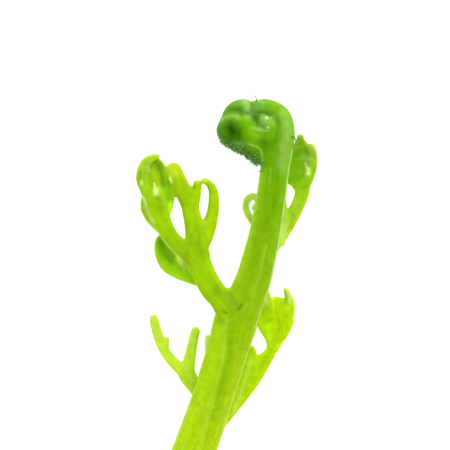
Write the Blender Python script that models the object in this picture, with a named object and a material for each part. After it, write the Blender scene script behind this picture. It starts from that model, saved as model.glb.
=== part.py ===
"""A young frond of water sprite, a water fern, as picked: its stalk is cut and its tip is still coiled.

The frond grew as one piece, so it is one solid. It lies on a flat surface, its upper side up.
+X is to the right and +Y runs from the cut end to the coiled tip, both along the surface; +Z is up.
The origin is at the middle of the frond's box, on the surface.

Each limb is an oval section carried along a smooth route, from a flat root to a round tip.
A route's rows hold x, y, z, width and thickness, in millimetres, in the drawing's own frame:
its x and y start beside the first fork of the stalk, and its z starts at the surface.
"""

import bmesh
import bpy
import numpy as np

MM = 0.001

# Driving sizes, in millimetres
STALK_WIDTH = 4.8
NECK_WIDTH = 3.45
LEAST_THICKNESS = 0.62
HEAD_HEIGHT = 5.6
FIST_LIFT = 1.45
BACK_LIFT = 1.35
FLOOR_DEPTH = 9.0

# How finely the limbs are cut into faces
STALK_SIDES = 20
BLADE_SIDES = 8
FIST_SIDES = 8
STALK_RIBS = 5
RIB_DEPTH = 0.045
TIP_ANGLES = (0.0, 35.0, 65.0)

FROND_GREEN = (0.26, 0.50, 0.02, 1.0)
FROND_ROUGHNESS = 0.38


def clear_scene():
    for thing in list(bpy.data.objects):
        bpy.data.objects.remove(thing, do_unlink=True)


def along_route(rows, per_span, nose):
    """Rows on the smooth curve through the given rows, and how far each section is drawn in.

    The curve is a cubic between each pair of rows, with the slope of its neighbours. The last rows
    close over a round nose: each stands at the sine of its angle and is drawn in by the cosine.
    """
    rows = np.array(rows, float)
    steps = np.linalg.norm(np.diff(rows[:, :3], axis=0), axis=1)
    knots = np.concatenate([[0.0], np.cumsum(steps)])
    slopes = np.gradient(rows, knots, axis=0)
    even = np.linspace(0.0, len(rows) - 1, per_span * (len(rows) - 1) + 1)
    body = np.interp(even, np.arange(len(rows)), knots)
    body = body[body < knots[-1] - 1.35 * nose]
    turn = np.radians(TIP_ANGLES)
    at = np.concatenate([body, knots[-1] - nose + nose * np.sin(turn), knots[-1:]])
    drawn_in = np.concatenate([np.ones(len(body)), np.cos(turn), [0.0]])
    span = np.clip(np.searchsorted(knots, at, side="right") - 1, 0, len(knots) - 2)
    length = (knots[span + 1] - knots[span])[:, None]
    u = (at - knots[span])[:, None] / length
    smooth = (
        (2 * u**3 - 3 * u**2 + 1) * rows[span]
        + (u**3 - 2 * u**2 + u) * length * slopes[span]
        + (3 * u**2 - 2 * u**3) * rows[span + 1]
        + (u**3 - u**2) * length * slopes[span + 1]
    )
    return smooth, drawn_in


def carried_normals(centres, face):
    """The tangent of the route at each centre, and the face's direction carried along without twisting."""
    tangents = np.gradient(centres, axis=0)
    tangents /= np.linalg.norm(tangents, axis=1)[:, None]
    normals = np.empty_like(tangents)
    normal = np.array(face, float)
    for row, tangent in enumerate(tangents):
        normal = normal - normal @ tangent * tangent
        normal /= np.linalg.norm(normal)
        normals[row] = normal
    return tangents, normals


def limb(name, rows, sides=BLADE_SIDES, per_span=2, cup=0.0, face=(0, 0, 1), ribs=0):
    """A closed oval tube along the route.

    cup bends the margins towards the face, as a share of the half width.
    """
    nose = max(rows[-1][3], LEAST_THICKNESS) / 2
    smooth, drawn_in = along_route(rows, per_span, nose)
    centres = smooth[:, :3]
    tangents, normals = carried_normals(centres, face)
    across = np.cross(tangents, normals)
    angle = 2 * np.pi * np.arange(sides) / sides
    swell = 1 + RIB_DEPTH * np.cos(ribs * angle) * bool(ribs)
    half_width = (np.maximum(smooth[:, 3], LEAST_THICKNESS) / 2 * drawn_in)[:, None]
    half_thickness = (np.maximum(smooth[:, 4], LEAST_THICKNESS) / 2 * drawn_in)[:, None]
    sideways = half_width * np.cos(angle) * swell
    upwards = half_thickness * np.sin(angle) * swell + cup * half_width * np.cos(angle) ** 2
    points = (
        centres[:, None, :]
        + across[:, None, :] * sideways[:, :, None]
        + normals[:, None, :] * upwards[:, :, None]
    )
    rings = points[:-1].reshape(-1, 3)
    root, tip = len(rings), len(rings) + 1
    faces = []
    for ring in range(len(centres) - 2):
        for side in range(sides):
            after = (side + 1) % sides
            low, high = ring * sides, (ring + 1) * sides
            faces.append((low + side, low + after, high + after, high + side))
    last = (len(centres) - 2) * sides
    for side in range(sides):
        after = (side + 1) % sides
        faces.append((after, side, root))
        faces.append((last + side, last + after, tip))
    points = np.vstack([rings, points[0].mean(axis=0), centres[-1]])
    mesh = bpy.data.meshes.new(name)
    mesh.from_pydata(points.tolist(), [], faces)
    solid = bmesh.new()
    solid.from_mesh(mesh)
    bmesh.ops.recalc_face_normals(solid, faces=solid.faces)
    solid.to_mesh(mesh)
    solid.free()
    made = bpy.data.objects.new(name, mesh)
    bpy.context.scene.collection.objects.link(made)
    return made


def spiral_rows(centre, start, turns, outer, inner, tube, tube_end, rise, rows=9):
    """Rows of a small coil in a level plane.

    start is its first angle in degrees, and rise lifts its inner end.
    """
    part = np.linspace(0.0, 1.0, rows)
    angle = np.radians(start) + 2 * np.pi * turns * part
    radius = outer + (inner - outer) * part
    thick = tube + (tube_end - tube) * part
    x, y, z = centre
    return np.column_stack(
        [
            x + radius * np.cos(angle),
            y + radius * np.sin(angle),
            z + rise * part,
            thick,
            thick,
        ]
    )


# The stalk and the coil
# The stalk is thick, soft and ribbed. It leans over the surface and its tip coils to the left.

STALK = [
    (-6.5, -25.0, 2.3, STALK_WIDTH, STALK_WIDTH),
    (-5.2, -21.5, 2.52, STALK_WIDTH, STALK_WIDTH),
    (-3.9, -18.0, 2.85, STALK_WIDTH, 4.7),
    (-2.75, -14.9, 3.15, STALK_WIDTH, 4.6),
    (-1.6, -11.8, 3.5, STALK_WIDTH, 4.5),
    (-0.45, -8.4, 3.85, STALK_WIDTH, 4.4),
    (0.5, -5.4, 4.15, STALK_WIDTH, 4.2),
    (1.35, -2.7, 4.4, 4.85, 4.1),
    (2.35, 0.0, 4.65, 4.4, 3.9),
    (3.25, 2.3, 4.85, 3.95, 3.7),
    (4.02, 5.0, 5.05, 3.75, 3.6),
    (4.68, 7.8, 5.2, 3.55, 3.5),
    (5.18, 10.6, 5.35, NECK_WIDTH, 3.4),
    (5.6, 13.3, 5.45, NECK_WIDTH, 3.35),
    (5.95, 15.9, 5.5, NECK_WIDTH, 3.3),
    (6.4, 18.2, HEAD_HEIGHT, NECK_WIDTH, 3.2),
    (6.68, 20.2, HEAD_HEIGHT, 3.3, 3.1),
    (6.3, 21.85, HEAD_HEIGHT, 3.1, 3.0),
    (5.0, 22.75, HEAD_HEIGHT, 2.75, 2.9),
    (3.2, 22.85, HEAD_HEIGHT, 2.5, 2.8),
    (1.5, 22.45, HEAD_HEIGHT, 2.4, 2.7),
    (0.35, 21.4, HEAD_HEIGHT, 2.3, 2.6),
    (0.15, 20.0, HEAD_HEIGHT, 2.2, 2.5),
    (0.95, 18.75, HEAD_HEIGHT, 2.0, 2.4),
    (2.3, 18.25, HEAD_HEIGHT, 1.8, 2.2),
]

# The pinnae of the coiled tip, each rolled up like a fist, on the upper and the lower side.
# Each: name, x, y, first angle, turns, outer and inner radius, tube at its root and tip, rise, side

FISTS = [
    ("fist_top", 1.95, 22.5, 60, 1.25, 0.95, 0.35, 1.35, 0.95, 0.35, 1),
    ("fist_nose", 0.75, 20.2, 80, 1.3, 0.95, 0.55, 1.35, 0.9, -0.15, 1),
    ("fist_eye", 4.7, 20.85, -40, 1.2, 0.5, 0.1, 1.05, 0.95, 0.1, 1),
    ("fist_back_top", 2.1, 22.4, 40, 1.25, 0.95, 0.35, 1.35, 0.95, 0.3, -1),
    ("fist_back_nose", 0.9, 20.1, 100, 1.3, 0.95, 0.5, 1.35, 0.9, -0.1, -1),
    ("fist_back_eye", 4.4, 21.0, -20, 1.2, 0.7, 0.15, 1.15, 0.9, 0.25, -1),
]

CHEEKS = [
    (
        "inner_coil",
        [
            (1.0, 18.9, HEAD_HEIGHT, 1.9, 2.4),
            (2.5, 18.2, HEAD_HEIGHT, 1.9, 2.6),
            (3.9, 18.7, HEAD_HEIGHT, 1.8, 2.8),
            (4.6, 19.9, HEAD_HEIGHT, 1.7, 2.8),
            (4.0, 21.0, HEAD_HEIGHT, 1.6, 2.6),
            (3.0, 20.8, HEAD_HEIGHT, 1.5, 2.4),
            (2.5, 20.0, HEAD_HEIGHT, 1.5, 2.2),
        ],
    ),
    (
        "cheek",
        [
            (6.2, 16.6, 5.9, 1.6, 1.2),
            (5.1, 17.7, 6.9, 1.9, 1.4),
            (3.9, 18.9, 7.5, 2.1, 1.5),
            (2.9, 20.2, 7.7, 2.1, 1.5),
            (2.7, 21.5, 7.3, 1.8, 1.4),
            (3.2, 22.4, 6.6, 1.4, 1.2),
        ],
    ),
    (
        "cheek_back",
        [
            (6.2, 16.9, 5.2, 1.6, 1.2),
            (5.0, 17.8, 4.3, 1.9, 1.4),
            (3.9, 18.9, 3.8, 2.1, 1.5),
            (3.0, 20.2, 3.6, 2.1, 1.5),
            (2.8, 21.5, 3.9, 1.8, 1.4),
            (3.2, 22.4, 4.6, 1.4, 1.2),
        ],
    ),
    (
        "chin",
        [
            (0.6, 18.9, 5.7, 1.5, 2.6),
            (1.8, 18.15, 5.6, 1.4, 2.8),
            (3.1, 17.7, 5.6, 1.4, 2.7),
            (4.2, 17.2, 5.6, 1.5, 2.4),
            (5.0, 17.6, 5.6, 1.4, 2.0),
        ],
    ),
]

# Buds of the pinnae that are still to unroll, along the outside of the coil
BUD_ANGLES = (195, 215, 233, 250, 266, 281)
BUD_CENTRE = (2.55, 19.9)
BUD_REACH = (2.0, 2.85)
BUD_WIDTH = 0.95

# The left pinna, which faces up. Its stalk forks into three lobes, and one more lobe hangs behind

LEFT_PINNA = [
    (
        "left_stalk",
        -0.05,
        [
            (1.3, -6.0, 4.3, 2.2, 2.6),
            (0.75, -3.6, 4.8, 2.8, 2.6),
            (0.2, -1.5, 5.2, 2.9, 2.4),
            (-0.6, 0.1, 5.5, 2.6, 2.1),
            (-1.4, 1.2, 5.75, 2.45, 1.8),
            (-2.5, 3.1, 5.95, 2.5, 1.6),
            (-3.2, 4.7, 6.0, 2.9, 1.45),
            (-3.5, 7.2, 6.0, 3.1, 1.2),
        ],
    ),
    (
        "left_outer",
        -0.12,
        [
            (-2.8, 3.9, 6.0, 2.2, 1.2),
            (-5.15, 6.0, 6.05, 2.1, 1.1),
            (-6.8, 7.95, 6.1, 1.95, 1.1),
            (-7.6, 9.7, 6.1, 2.05, 1.0),
            (-8.0, 11.4, 6.1, 2.45, 0.95),
            (-8.6, 13.2, 6.15, 1.9, 0.85),
            (-9.0, 14.9, 6.3, 1.4, 0.8),
            (-9.1, 16.3, 6.5, 1.0, 0.75),
        ],
    ),
    (
        "left_outer_hook",
        -0.2,
        [
            (-8.6, 11.2, 6.1, 1.2, 0.9),
            (-9.35, 13.0, 6.35, 1.3, 0.9),
            (-9.85, 14.6, 6.6, 1.55, 0.85),
            (-9.85, 15.8, 6.9, 1.5, 0.8),
            (-9.3, 16.65, 7.15, 1.25, 0.75),
            (-8.5, 17.1, 7.3, 0.95, 0.7),
            (-7.7, 17.15, 7.35, 0.7, 0.62),
        ],
    ),
    (
        "left_outer_fold",
        0.2,
        [
            (-7.3, 10.6, 6.0, 1.5, 0.9),
            (-6.95, 12.1, 5.8, 1.7, 0.9),
            (-6.85, 13.4, 5.7, 1.5, 0.85),
            (-7.45, 14.9, 5.75, 1.4, 0.8),
            (-8.2, 16.5, 6.1, 1.1, 0.7),
        ],
    ),
    (
        "left_outer_back",
        0.0,
        [
            (-7.2, 7.9, 5.8, 0.9, 0.8),
            (-8.6, 9.0, 5.1, 0.85, 0.65),
            (-9.35, 9.9, 4.7, 0.8, 0.62),
            (-9.75, 10.9, 4.5, 0.75, 0.62),
            (-9.8, 12.0, 4.6, 0.7, 0.62),
            (-9.6, 13.0, 5.1, 0.62, 0.62),
        ],
    ),
    (
        "left_middle",
        -0.12,
        [
            (-3.0, 5.0, 6.0, 2.6, 1.3),
            (-3.5, 7.2, 6.1, 2.5, 1.2),
            (-3.8, 9.4, 6.15, 2.3, 1.1),
            (-4.2, 11.4, 6.15, 2.15, 1.0),
            (-4.4, 13.2, 6.15, 1.9, 0.9),
        ],
    ),
    (
        "left_middle_tongue",
        -0.15,
        [
            (-4.5, 11.6, 6.15, 1.9, 1.0),
            (-4.95, 13.0, 6.2, 1.95, 0.95),
            (-5.4, 14.2, 6.2, 1.95, 0.9),
            (-5.9, 15.4, 6.1, 1.9, 0.85),
            (-6.4, 16.45, 5.7, 1.5, 0.8),
        ],
    ),
    (
        "left_middle_stub",
        0.0,
        [
            (-3.7, 11.2, 6.15, 0.9, 0.8),
            (-3.4, 12.6, 6.25, 0.95, 0.75),
            (-3.25, 13.7, 6.4, 0.95, 0.7),
            (-3.3, 14.5, 6.6, 0.85, 0.65),
        ],
    ),
    (
        "left_inner_hook",
        -0.15,
        [
            (-3.1, 5.8, 6.0, 1.6, 1.1),
            (-2.3, 7.6, 6.05, 1.55, 1.1),
            (-1.8, 9.2, 6.1, 1.4, 1.0),
            (-1.42, 10.8, 6.25, 1.2, 0.9),
            (-1.35, 12.2, 6.45, 1.08, 0.85),
            (-1.5, 13.2, 6.6, 1.0, 0.75),
            (-2.0, 14.0, 6.7, 0.78, 0.65),
            (-2.8, 14.35, 6.75, 0.62, 0.62),
        ],
    ),
    (
        "left_hanging",
        0.22,
        [
            (-1.7, 1.9, 5.4, 1.5, 1.0),
            (-3.9, 2.9, 4.9, 1.8, 0.85),
            (-5.45, 3.5, 4.5, 2.2, 0.8),
            (-6.75, 4.6, 4.25, 2.4, 0.75),
            (-7.3, 5.9, 4.3, 2.2, 0.7),
            (-7.4, 7.0, 4.6, 1.8, 0.7),
            (-7.3, 7.9, 5.0, 1.1, 0.65),
        ],
    ),
]

# The right pinna, below the stalk. Its last lobe loops round under the stalk to the left

RIGHT_PINNA = [
    (
        "right_stalk",
        0.0,
        [
            (4.3, 3.9, 4.2, 1.5, 1.4),
            (5.5, 6.0, 3.0, 1.5, 1.2),
            (6.85, 7.8, 2.3, 1.5, 1.1),
            (7.95, 9.7, 1.9, 1.5, 1.0),
            (8.75, 11.4, 1.6, 1.45, 0.9),
            (9.3, 12.9, 1.5, 1.4, 0.85),
            (9.6, 14.2, 1.4, 1.3, 0.8),
        ],
    ),
    (
        "right_outer",
        0.0,
        [
            (9.4, 12.8, 1.5, 1.1, 0.85),
            (10.0, 14.2, 1.3, 1.1, 0.75),
            (10.5, 15.5, 1.3, 0.8, 0.7),
            (10.65, 16.8, 1.6, 0.95, 0.7),
            (10.4, 17.9, 2.1, 1.15, 0.7),
            (9.8, 18.5, 2.6, 0.95, 0.65),
            (9.2, 18.5, 2.9, 0.7, 0.62),
        ],
    ),
    (
        "right_inner",
        0.15,
        [
            (9.2, 12.4, 1.4, 1.3, 0.9),
            (8.85, 14.0, 0.85, 1.9, 0.85),
            (8.65, 15.4, 0.4, 2.1, 0.8),
            (8.8, 16.9, 0.3, 1.9, 0.75),
            (9.05, 18.2, 0.6, 1.5, 0.7),
            (9.2, 19.2, 1.2, 1.0, 0.65),
            (9.15, 20.1, 1.9, 0.65, 0.62),
        ],
    ),
    (
        "right_spur",
        0.0,
        [
            (7.7, 9.0, 2.0, 0.9, 0.8),
            (7.3, 10.4, 1.7, 0.85, 0.7),
            (7.1, 11.4, 1.6, 0.8, 0.65),
            (7.1, 12.2, 1.7, 0.65, 0.62),
        ],
    ),
    (
        "right_loop",
        0.0,
        [
            (6.2, 6.6, 2.7, 1.0, 0.9),
            (4.7, 7.7, 2.0, 0.9, 0.7),
            (3.7, 9.0, 1.6, 0.85, 0.65),
            (2.85, 10.1, 1.5, 0.8, 0.62),
            (2.42, 11.2, 1.6, 0.85, 0.62),
            (2.75, 12.1, 1.8, 0.9, 0.65),
            (3.6, 12.35, 2.1, 0.85, 0.65),
            (4.4, 12.2, 2.4, 0.7, 0.62),
        ],
    ),
]

# The two low pinnae, which hold the stalk up off the surface

LOW_LEFT_PINNA = [
    (
        "low_left_stalk",
        0.0,
        [
            (-0.8, -14.4, 2.4, 1.6, 1.3),
            (-2.5, -12.2, 1.9, 1.6, 1.1),
            (-3.8, -10.6, 1.6, 1.6, 0.95),
            (-4.7, -9.0, 1.4, 2.1, 0.85),
            (-5.0, -7.9, 1.3, 2.2, 0.8),
        ],
    ),
    (
        "low_left_outer",
        0.0,
        [
            (-4.9, -9.0, 1.4, 1.2, 0.85),
            (-6.42, -7.3, 1.0, 1.1, 0.75),
            (-7.6, -5.6, 0.65, 0.95, 0.7),
            (-8.25, -3.9, 0.4, 0.9, 0.7),
            (-8.5, -2.7, 0.28, 0.85, 0.7),
            (-8.5, -1.6, 0.4, 0.8, 0.65),
        ],
    ),
    (
        "low_left_tooth",
        0.0,
        [
            (-7.25, -6.2, 0.8, 0.8, 0.65),
            (-7.05, -5.1, 0.75, 0.65, 0.62),
            (-7.0, -4.3, 0.9, 0.62, 0.62),
        ],
    ),
    (
        "low_left_inner",
        0.0,
        [
            (-4.6, -9.0, 1.4, 1.5, 0.85),
            (-4.35, -7.3, 1.2, 1.3, 0.8),
            (-4.05, -5.7, 1.1, 1.05, 0.75),
            (-3.75, -4.4, 1.15, 0.95, 0.7),
            (-3.5, -3.3, 1.35, 0.85, 0.65),
        ],
    ),
    (
        "low_left_hidden",
        0.0,
        [
            (-3.1, -11.0, 1.8, 0.9, 0.8),
            (-2.2, -8.6, 1.4, 0.85, 0.7),
            (-2.1, -6.8, 1.1, 0.75, 0.65),
            (-2.15, -5.4, 1.0, 0.7, 0.62),
            (-2.2, -4.1, 1.1, 0.65, 0.62),
        ],
    ),
]

LOW_RIGHT_PINNA = [
    (
        "low_right_stalk",
        0.0,
        [
            (-1.6, -16.0, 2.5, 1.8, 1.6),
            (0.0, -14.0, 2.0, 2.1, 1.4),
            (1.55, -12.0, 1.65, 2.3, 1.2),
            (2.95, -10.0, 1.35, 2.4, 1.05),
            (4.2, -8.0, 1.1, 2.2, 0.95),
            (5.5, -6.3, 0.85, 1.2, 0.85),
            (6.3, -4.9, 0.7, 1.2, 0.8),
        ],
    ),
    (
        "low_right_blade",
        0.12,
        [
            (5.5, -6.3, 0.9, 1.1, 0.85),
            (6.3, -4.9, 0.6, 1.5, 0.8),
            (6.3, -3.6, 0.4, 3.4, 0.75),
            (6.3, -2.3, 0.35, 4.3, 0.75),
            (6.5, -1.0, 0.45, 3.9, 0.7),
            (6.6, 0.05, 0.6, 3.0, 0.65),
        ],
    ),
    (
        "low_right_spur",
        0.0,
        [
            (3.4, -9.4, 1.4, 1.8, 0.9),
            (3.1, -7.9, 1.2, 1.5, 0.8),
            (2.9, -6.6, 1.1, 1.3, 0.7),
            (2.8, -5.6, 1.1, 0.9, 0.65),
        ],
    ),
    (
        "low_right_horn",
        0.0,
        [
            (5.4, -2.0, 0.5, 1.4, 0.7),
            (5.2, -0.7, 0.8, 1.3, 0.65),
            (4.9, 0.5, 1.3, 0.9, 0.62),
            (4.6, 1.4, 1.8, 0.65, 0.62),
        ],
    ),
    (
        "low_right_spike",
        0.0,
        [
            (7.7, -2.2, 0.45, 1.2, 0.7),
            (7.95, -0.8, 0.6, 0.95, 0.65),
            (7.6, 0.5, 0.9, 0.75, 0.62),
            (7.25, 1.6, 1.3, 0.65, 0.62),
            (6.95, 2.5, 1.7, 0.62, 0.62),
        ],
    ),
]


def build_limbs():
    """All the limbs as separate closed solids: the stalk, and what sinks into it or each other."""
    stalk = limb("frond", STALK, sides=STALK_SIDES, per_span=2, ribs=STALK_RIBS)
    grown = []
    for name, x, y, start, turns, outer, inner, tube, tube_end, rise, side in FISTS:
        lift = FIST_LIFT if side > 0 else -BACK_LIFT
        centre = (x, y, HEAD_HEIGHT + lift)
        rows = spiral_rows(centre, start, turns, outer, inner, tube, tube_end, side * rise)
        grown.append(limb(name, rows, sides=FIST_SIDES, per_span=2))
    for name, rows in CHEEKS:
        grown.append(limb(name, rows))
    for number, degrees in enumerate(BUD_ANGLES):
        direction = np.array([np.cos(np.radians(degrees)), np.sin(np.radians(degrees))])
        near, far = (np.array(BUD_CENTRE) + direction * reach for reach in BUD_REACH)
        side = 0.45 * (-1) ** number
        rows = [
            (*near, HEAD_HEIGHT + side / 2, BUD_WIDTH, BUD_WIDTH),
            (*((near + far) / 2), HEAD_HEIGHT + side, BUD_WIDTH, BUD_WIDTH),
            (*far, HEAD_HEIGHT + side, BUD_WIDTH * 0.8, BUD_WIDTH * 0.8),
        ]
        grown.append(limb(f"bud_{number}", rows, per_span=1))
    for pinna in (LEFT_PINNA, RIGHT_PINNA, LOW_LEFT_PINNA, LOW_RIGHT_PINNA):
        for name, cup, rows in pinna:
            grown.append(limb(name, rows, cup=cup))
    return stalk, grown


def fuse(body, grown):
    """Joins the limbs to the body as one solid, and removes them."""
    gathered = bpy.data.collections.new("limbs")
    for piece in grown:
        gathered.objects.link(piece)
    join = body.modifiers.new("join", "BOOLEAN")
    join.operation = "UNION"
    join.operand_type = "COLLECTION"
    join.collection = gathered
    join.solver = "MANIFOLD"
    bpy.context.view_layer.objects.active = body
    bpy.ops.object.modifier_apply(modifier=join.name)
    for piece in grown:
        bpy.data.objects.remove(piece, do_unlink=True)
    bpy.data.collections.remove(gathered)


def rest_on_surface(body):
    """Cuts off what reaches below the surface, which leaves the small flats that the frond rests on."""
    bpy.ops.mesh.primitive_cube_add(size=1, location=(0, 0, -FLOOR_DEPTH / 2))
    below = bpy.context.object
    below.scale = (90, 90, FLOOR_DEPTH)
    cut = body.modifiers.new("surface", "BOOLEAN")
    cut.operation = "DIFFERENCE"
    cut.object = below
    cut.solver = "MANIFOLD"
    bpy.context.view_layer.objects.active = body
    bpy.ops.object.modifier_apply(modifier=cut.name)
    bpy.data.objects.remove(below, do_unlink=True)


def centre_on_origin(body):
    """Puts the middle of the mesh's box, seen from above, at the origin, and turns it to metres."""
    mesh = body.data
    points = np.empty(len(mesh.vertices) * 3, np.float32)
    mesh.vertices.foreach_get("co", points)
    points = points.reshape(-1, 3)
    middle = (points.min(axis=0) + points.max(axis=0)) / 2
    points[:, :2] -= middle[:2]
    mesh.vertices.foreach_set("co", (points * MM).ravel())
    mesh.update()


def green_material():
    material = bpy.data.materials.new("fresh_frond")
    material.use_nodes = True
    shader = material.node_tree.nodes["Principled BSDF"]
    shader.inputs["Base Color"].default_value = FROND_GREEN
    shader.inputs["Roughness"].default_value = FROND_ROUGHNESS
    shader.inputs["Metallic"].default_value = 0.0
    return material


clear_scene()
frond, limbs = build_limbs()
fuse(frond, limbs)
rest_on_surface(frond)
centre_on_origin(frond)
frond.data.shade_smooth()
frond.data.set_sharp_from_angle(angle=np.radians(50))
frond.data.materials.append(green_material())
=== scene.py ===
"""The looks of a young frond of water sprite, lying on a light table and seen from straight above.

The frond is drawn in millimetres. A drawing's x and y start beside the first fork of the stalk,
its z starts at the table, and in_row_frame() brings it to the part's own frame, in metres.
"""

import bpy
import numpy as np
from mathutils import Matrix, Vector


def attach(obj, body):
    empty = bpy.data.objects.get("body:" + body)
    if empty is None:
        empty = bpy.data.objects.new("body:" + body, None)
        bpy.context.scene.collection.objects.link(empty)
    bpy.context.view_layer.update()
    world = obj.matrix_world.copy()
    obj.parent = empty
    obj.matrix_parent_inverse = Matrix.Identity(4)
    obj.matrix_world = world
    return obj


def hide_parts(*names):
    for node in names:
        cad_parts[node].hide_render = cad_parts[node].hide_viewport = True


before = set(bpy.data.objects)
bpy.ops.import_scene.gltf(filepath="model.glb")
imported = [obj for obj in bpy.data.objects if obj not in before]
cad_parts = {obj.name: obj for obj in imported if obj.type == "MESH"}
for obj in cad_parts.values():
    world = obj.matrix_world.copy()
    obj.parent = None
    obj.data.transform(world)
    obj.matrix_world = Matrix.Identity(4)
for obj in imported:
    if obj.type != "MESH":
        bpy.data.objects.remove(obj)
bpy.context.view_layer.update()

# The stalk and its coiled tip. Fleshy green tissue, ribbed lengthways, cut square at the lower end. The
# tip is the same stalk, coiled up to the left. Each is drawn as one closed tube along its route.

SAMPLE_STEP = 0.25
LEAST_SIZE = 0.3
LIMB_SIDES = 32
GROOVE_WIDTH = 0.42
STALK_SIDES = 72
STALK_RIBS = 5
RIB_DEPTH = 0.03
STALK_GREENS = ("#B8DE0E", "#B3D80C", "#AED20A", "#A5CB09", "#9CC408", "#90BC07", "#84B406", "#7AAF06")
COIL_GREENS = ("#70AA06", "#70A910", "#6CA614", "#4F8F1E")
MARGIN_LINE_ANGLE = 17
MARGIN_LINE_SAMPLES = slice(12, 186, 4)
NECK_SAMPLES = slice(110, 186, 4)
RIDGE_HIGHLIGHT_GREEN = "#B9DE38"
LIT_LEFT_FACE_GREEN = "#B4E010"
MARGIN_LINE_GLOW_GREEN = "#CDE88C"
FLANK_SHEEN_GREEN = "#94C04C"
CREASE_SHADE_GREEN = "#3E7C06"


def linear(hex_colour):
    """The linear RGB of an sRGB hex colour: the usual curve, a power of 2.4 above a short straight part."""
    coded = np.array([int(hex_colour[i : i + 2], 16) / 255 for i in (1, 3, 5)])
    return np.where(coded <= 0.04045, coded / 12.92, ((coded + 0.055) / 1.055) ** 2.4)


def unit(vectors):
    """The vectors, each at length 1."""
    return vectors / np.linalg.norm(vectors, axis=-1, keepdims=True)


def even_rows(rows, step=SAMPLE_STEP):
    """Rows about one step apart on the smooth curve through the given rows, and their distance along it.

    Between two rows each column is a cubic that keeps the slope of its neighbours (Hermite's form).
    """
    rows = np.array(rows, float)
    knots = np.concatenate([[0.0], np.cumsum(np.linalg.norm(np.diff(rows[:, :3], axis=0), axis=1))])
    slopes = np.gradient(rows, knots, axis=0)
    at = np.linspace(0.0, knots[-1], max(int(np.ceil(knots[-1] / step)), 4) + 1)
    span = np.clip(np.searchsorted(knots, at, side="right") - 1, 0, len(knots) - 2)
    length = (knots[span + 1] - knots[span])[:, None]
    u = (at - knots[span])[:, None] / length
    curve = (
        (2 * u**3 - 3 * u**2 + 1) * rows[span]
        + (u**3 - 2 * u**2 + u) * length * slopes[span]
        + (3 * u**2 - 2 * u**3) * rows[span + 1]
        + (u**3 - u**2) * length * slopes[span + 1]
    )
    return curve, at


def limb_frames(centres):
    """Directions ahead, sideways and outwards at each centre.

    Outwards is straight up, less its share along the limb.
    """
    ahead = unit(np.gradient(centres, axis=0))
    outward = unit(np.array([0.0, 0.0, 1.0]) - ahead * ahead[:, 2:3])
    return ahead, np.cross(ahead, outward), outward


def ring_quads(rings, sides):
    """The quads between neighbouring rings of points, where the points are counted ring by ring."""
    ring, spoke = np.meshgrid(np.arange(rings - 1), np.arange(sides), indexing="ij")
    corner, beside = ring * sides + spoke, ring * sides + (spoke + 1) % sides
    return np.stack([corner, beside, beside + sides, corner + sides], -1).reshape(-1, 4)


class Limb:
    """One limb of the frond: its route, its section, and its greens from root to tip, evenly spaced.

    A route's rows hold x, y, z, width and thickness. cup lifts the margins, as a share of the half
    width; groove sinks the middle of the upper face, as a share of the thickness; ribs is how many
    lengthways ribs stand round it, each rib_depth of the radius high. flatness is the power that
    squares the section: 1 is an ellipse, and less is flatter above and below.
    """

    def __init__(
        self, rows, greens, cup=0.0, groove=0.0, ribs=0, rib_depth=0.0, flatness=1.0, sides=LIMB_SIDES
    ):
        rows, self.along = even_rows(rows)
        self.centres = rows[:, :3]
        self.ahead, self.sideways, self.outward = limb_frames(self.centres)
        self.half_width = np.maximum(rows[:, 3], LEAST_SIZE) / 2
        self.half_thickness = np.maximum(rows[:, 4], LEAST_SIZE) / 2
        greens = np.stack([linear(green) for green in greens])
        at = self.along / self.along[-1] * (len(greens) - 1)
        self.green = np.stack([np.interp(at, np.arange(len(greens)), column) for column in greens.T], 1)
        self.cup, self.groove, self.ribs, self.rib_depth = cup, groove, ribs, rib_depth
        self.flatness, self.sides = flatness, sides

    def flank_line(self, angle):
        """The line along the limb's right flank, at an angle in degrees above the level of its middle."""
        across = self.sideways * (np.cos(np.radians(angle)) * self.half_width)[:, None]
        up = self.outward * (np.sin(np.radians(angle)) * self.half_thickness)[:, None]
        return self.centres + across + up

    def surface(self):
        """Points, quads and end fans of the closed tube.

        On each ring a point stands at (half width * cos a, half thickness * sin a), each to the power
        of flatness with its sign kept, times 1 + the rib's share of cos(ribs * a), plus the cup's share
        of cos a squared and less the groove. The last half width of the route closes over a round
        end: sections there shrink as a circle's.
        """
        left = self.along[-1] - self.along
        past = np.clip(1 - left / self.half_width[-1], 0, 1)
        drawn_in = np.sqrt(np.clip(1 - past**2, 0, 1))[:, None]
        a = 2 * np.pi * np.arange(self.sides) / self.sides
        cos = np.sign(np.cos(a)) * np.abs(np.cos(a)) ** self.flatness
        sin = np.sign(np.sin(a)) * np.abs(np.sin(a)) ** self.flatness
        swell = 1 + self.rib_depth * np.cos(self.ribs * a)
        half_width = self.half_width[:, None] * drawn_in
        half_thickness = self.half_thickness[:, None] * drawn_in
        side = half_width * cos * swell
        sink = self.groove * np.exp(-((cos / GROOVE_WIDTH) ** 2)) * np.clip(sin, 0, 1)
        rise = half_thickness * (sin * swell - sink) + self.cup * half_width * cos**2
        across = self.sideways[:, None] * side[:, :, None]
        up = self.outward[:, None] * rise[:, :, None]
        points = (self.centres[:, None] + across + up)[:-1]
        rings = len(points)
        here = np.arange(self.sides)
        after = (here + 1) % self.sides
        root, last = rings * self.sides, (rings - 1) * self.sides
        root_fan = np.stack([after, here, 0 * here + root], 1)
        tip_fan = np.stack([here + last, after + last, 0 * here + root + 1], 1)
        points = np.vstack([points.reshape(-1, 3), points[0].mean(0), self.centres[-1]])
        return points, ring_quads(rings, self.sides), np.vstack([root_fan, tip_fan])


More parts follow.
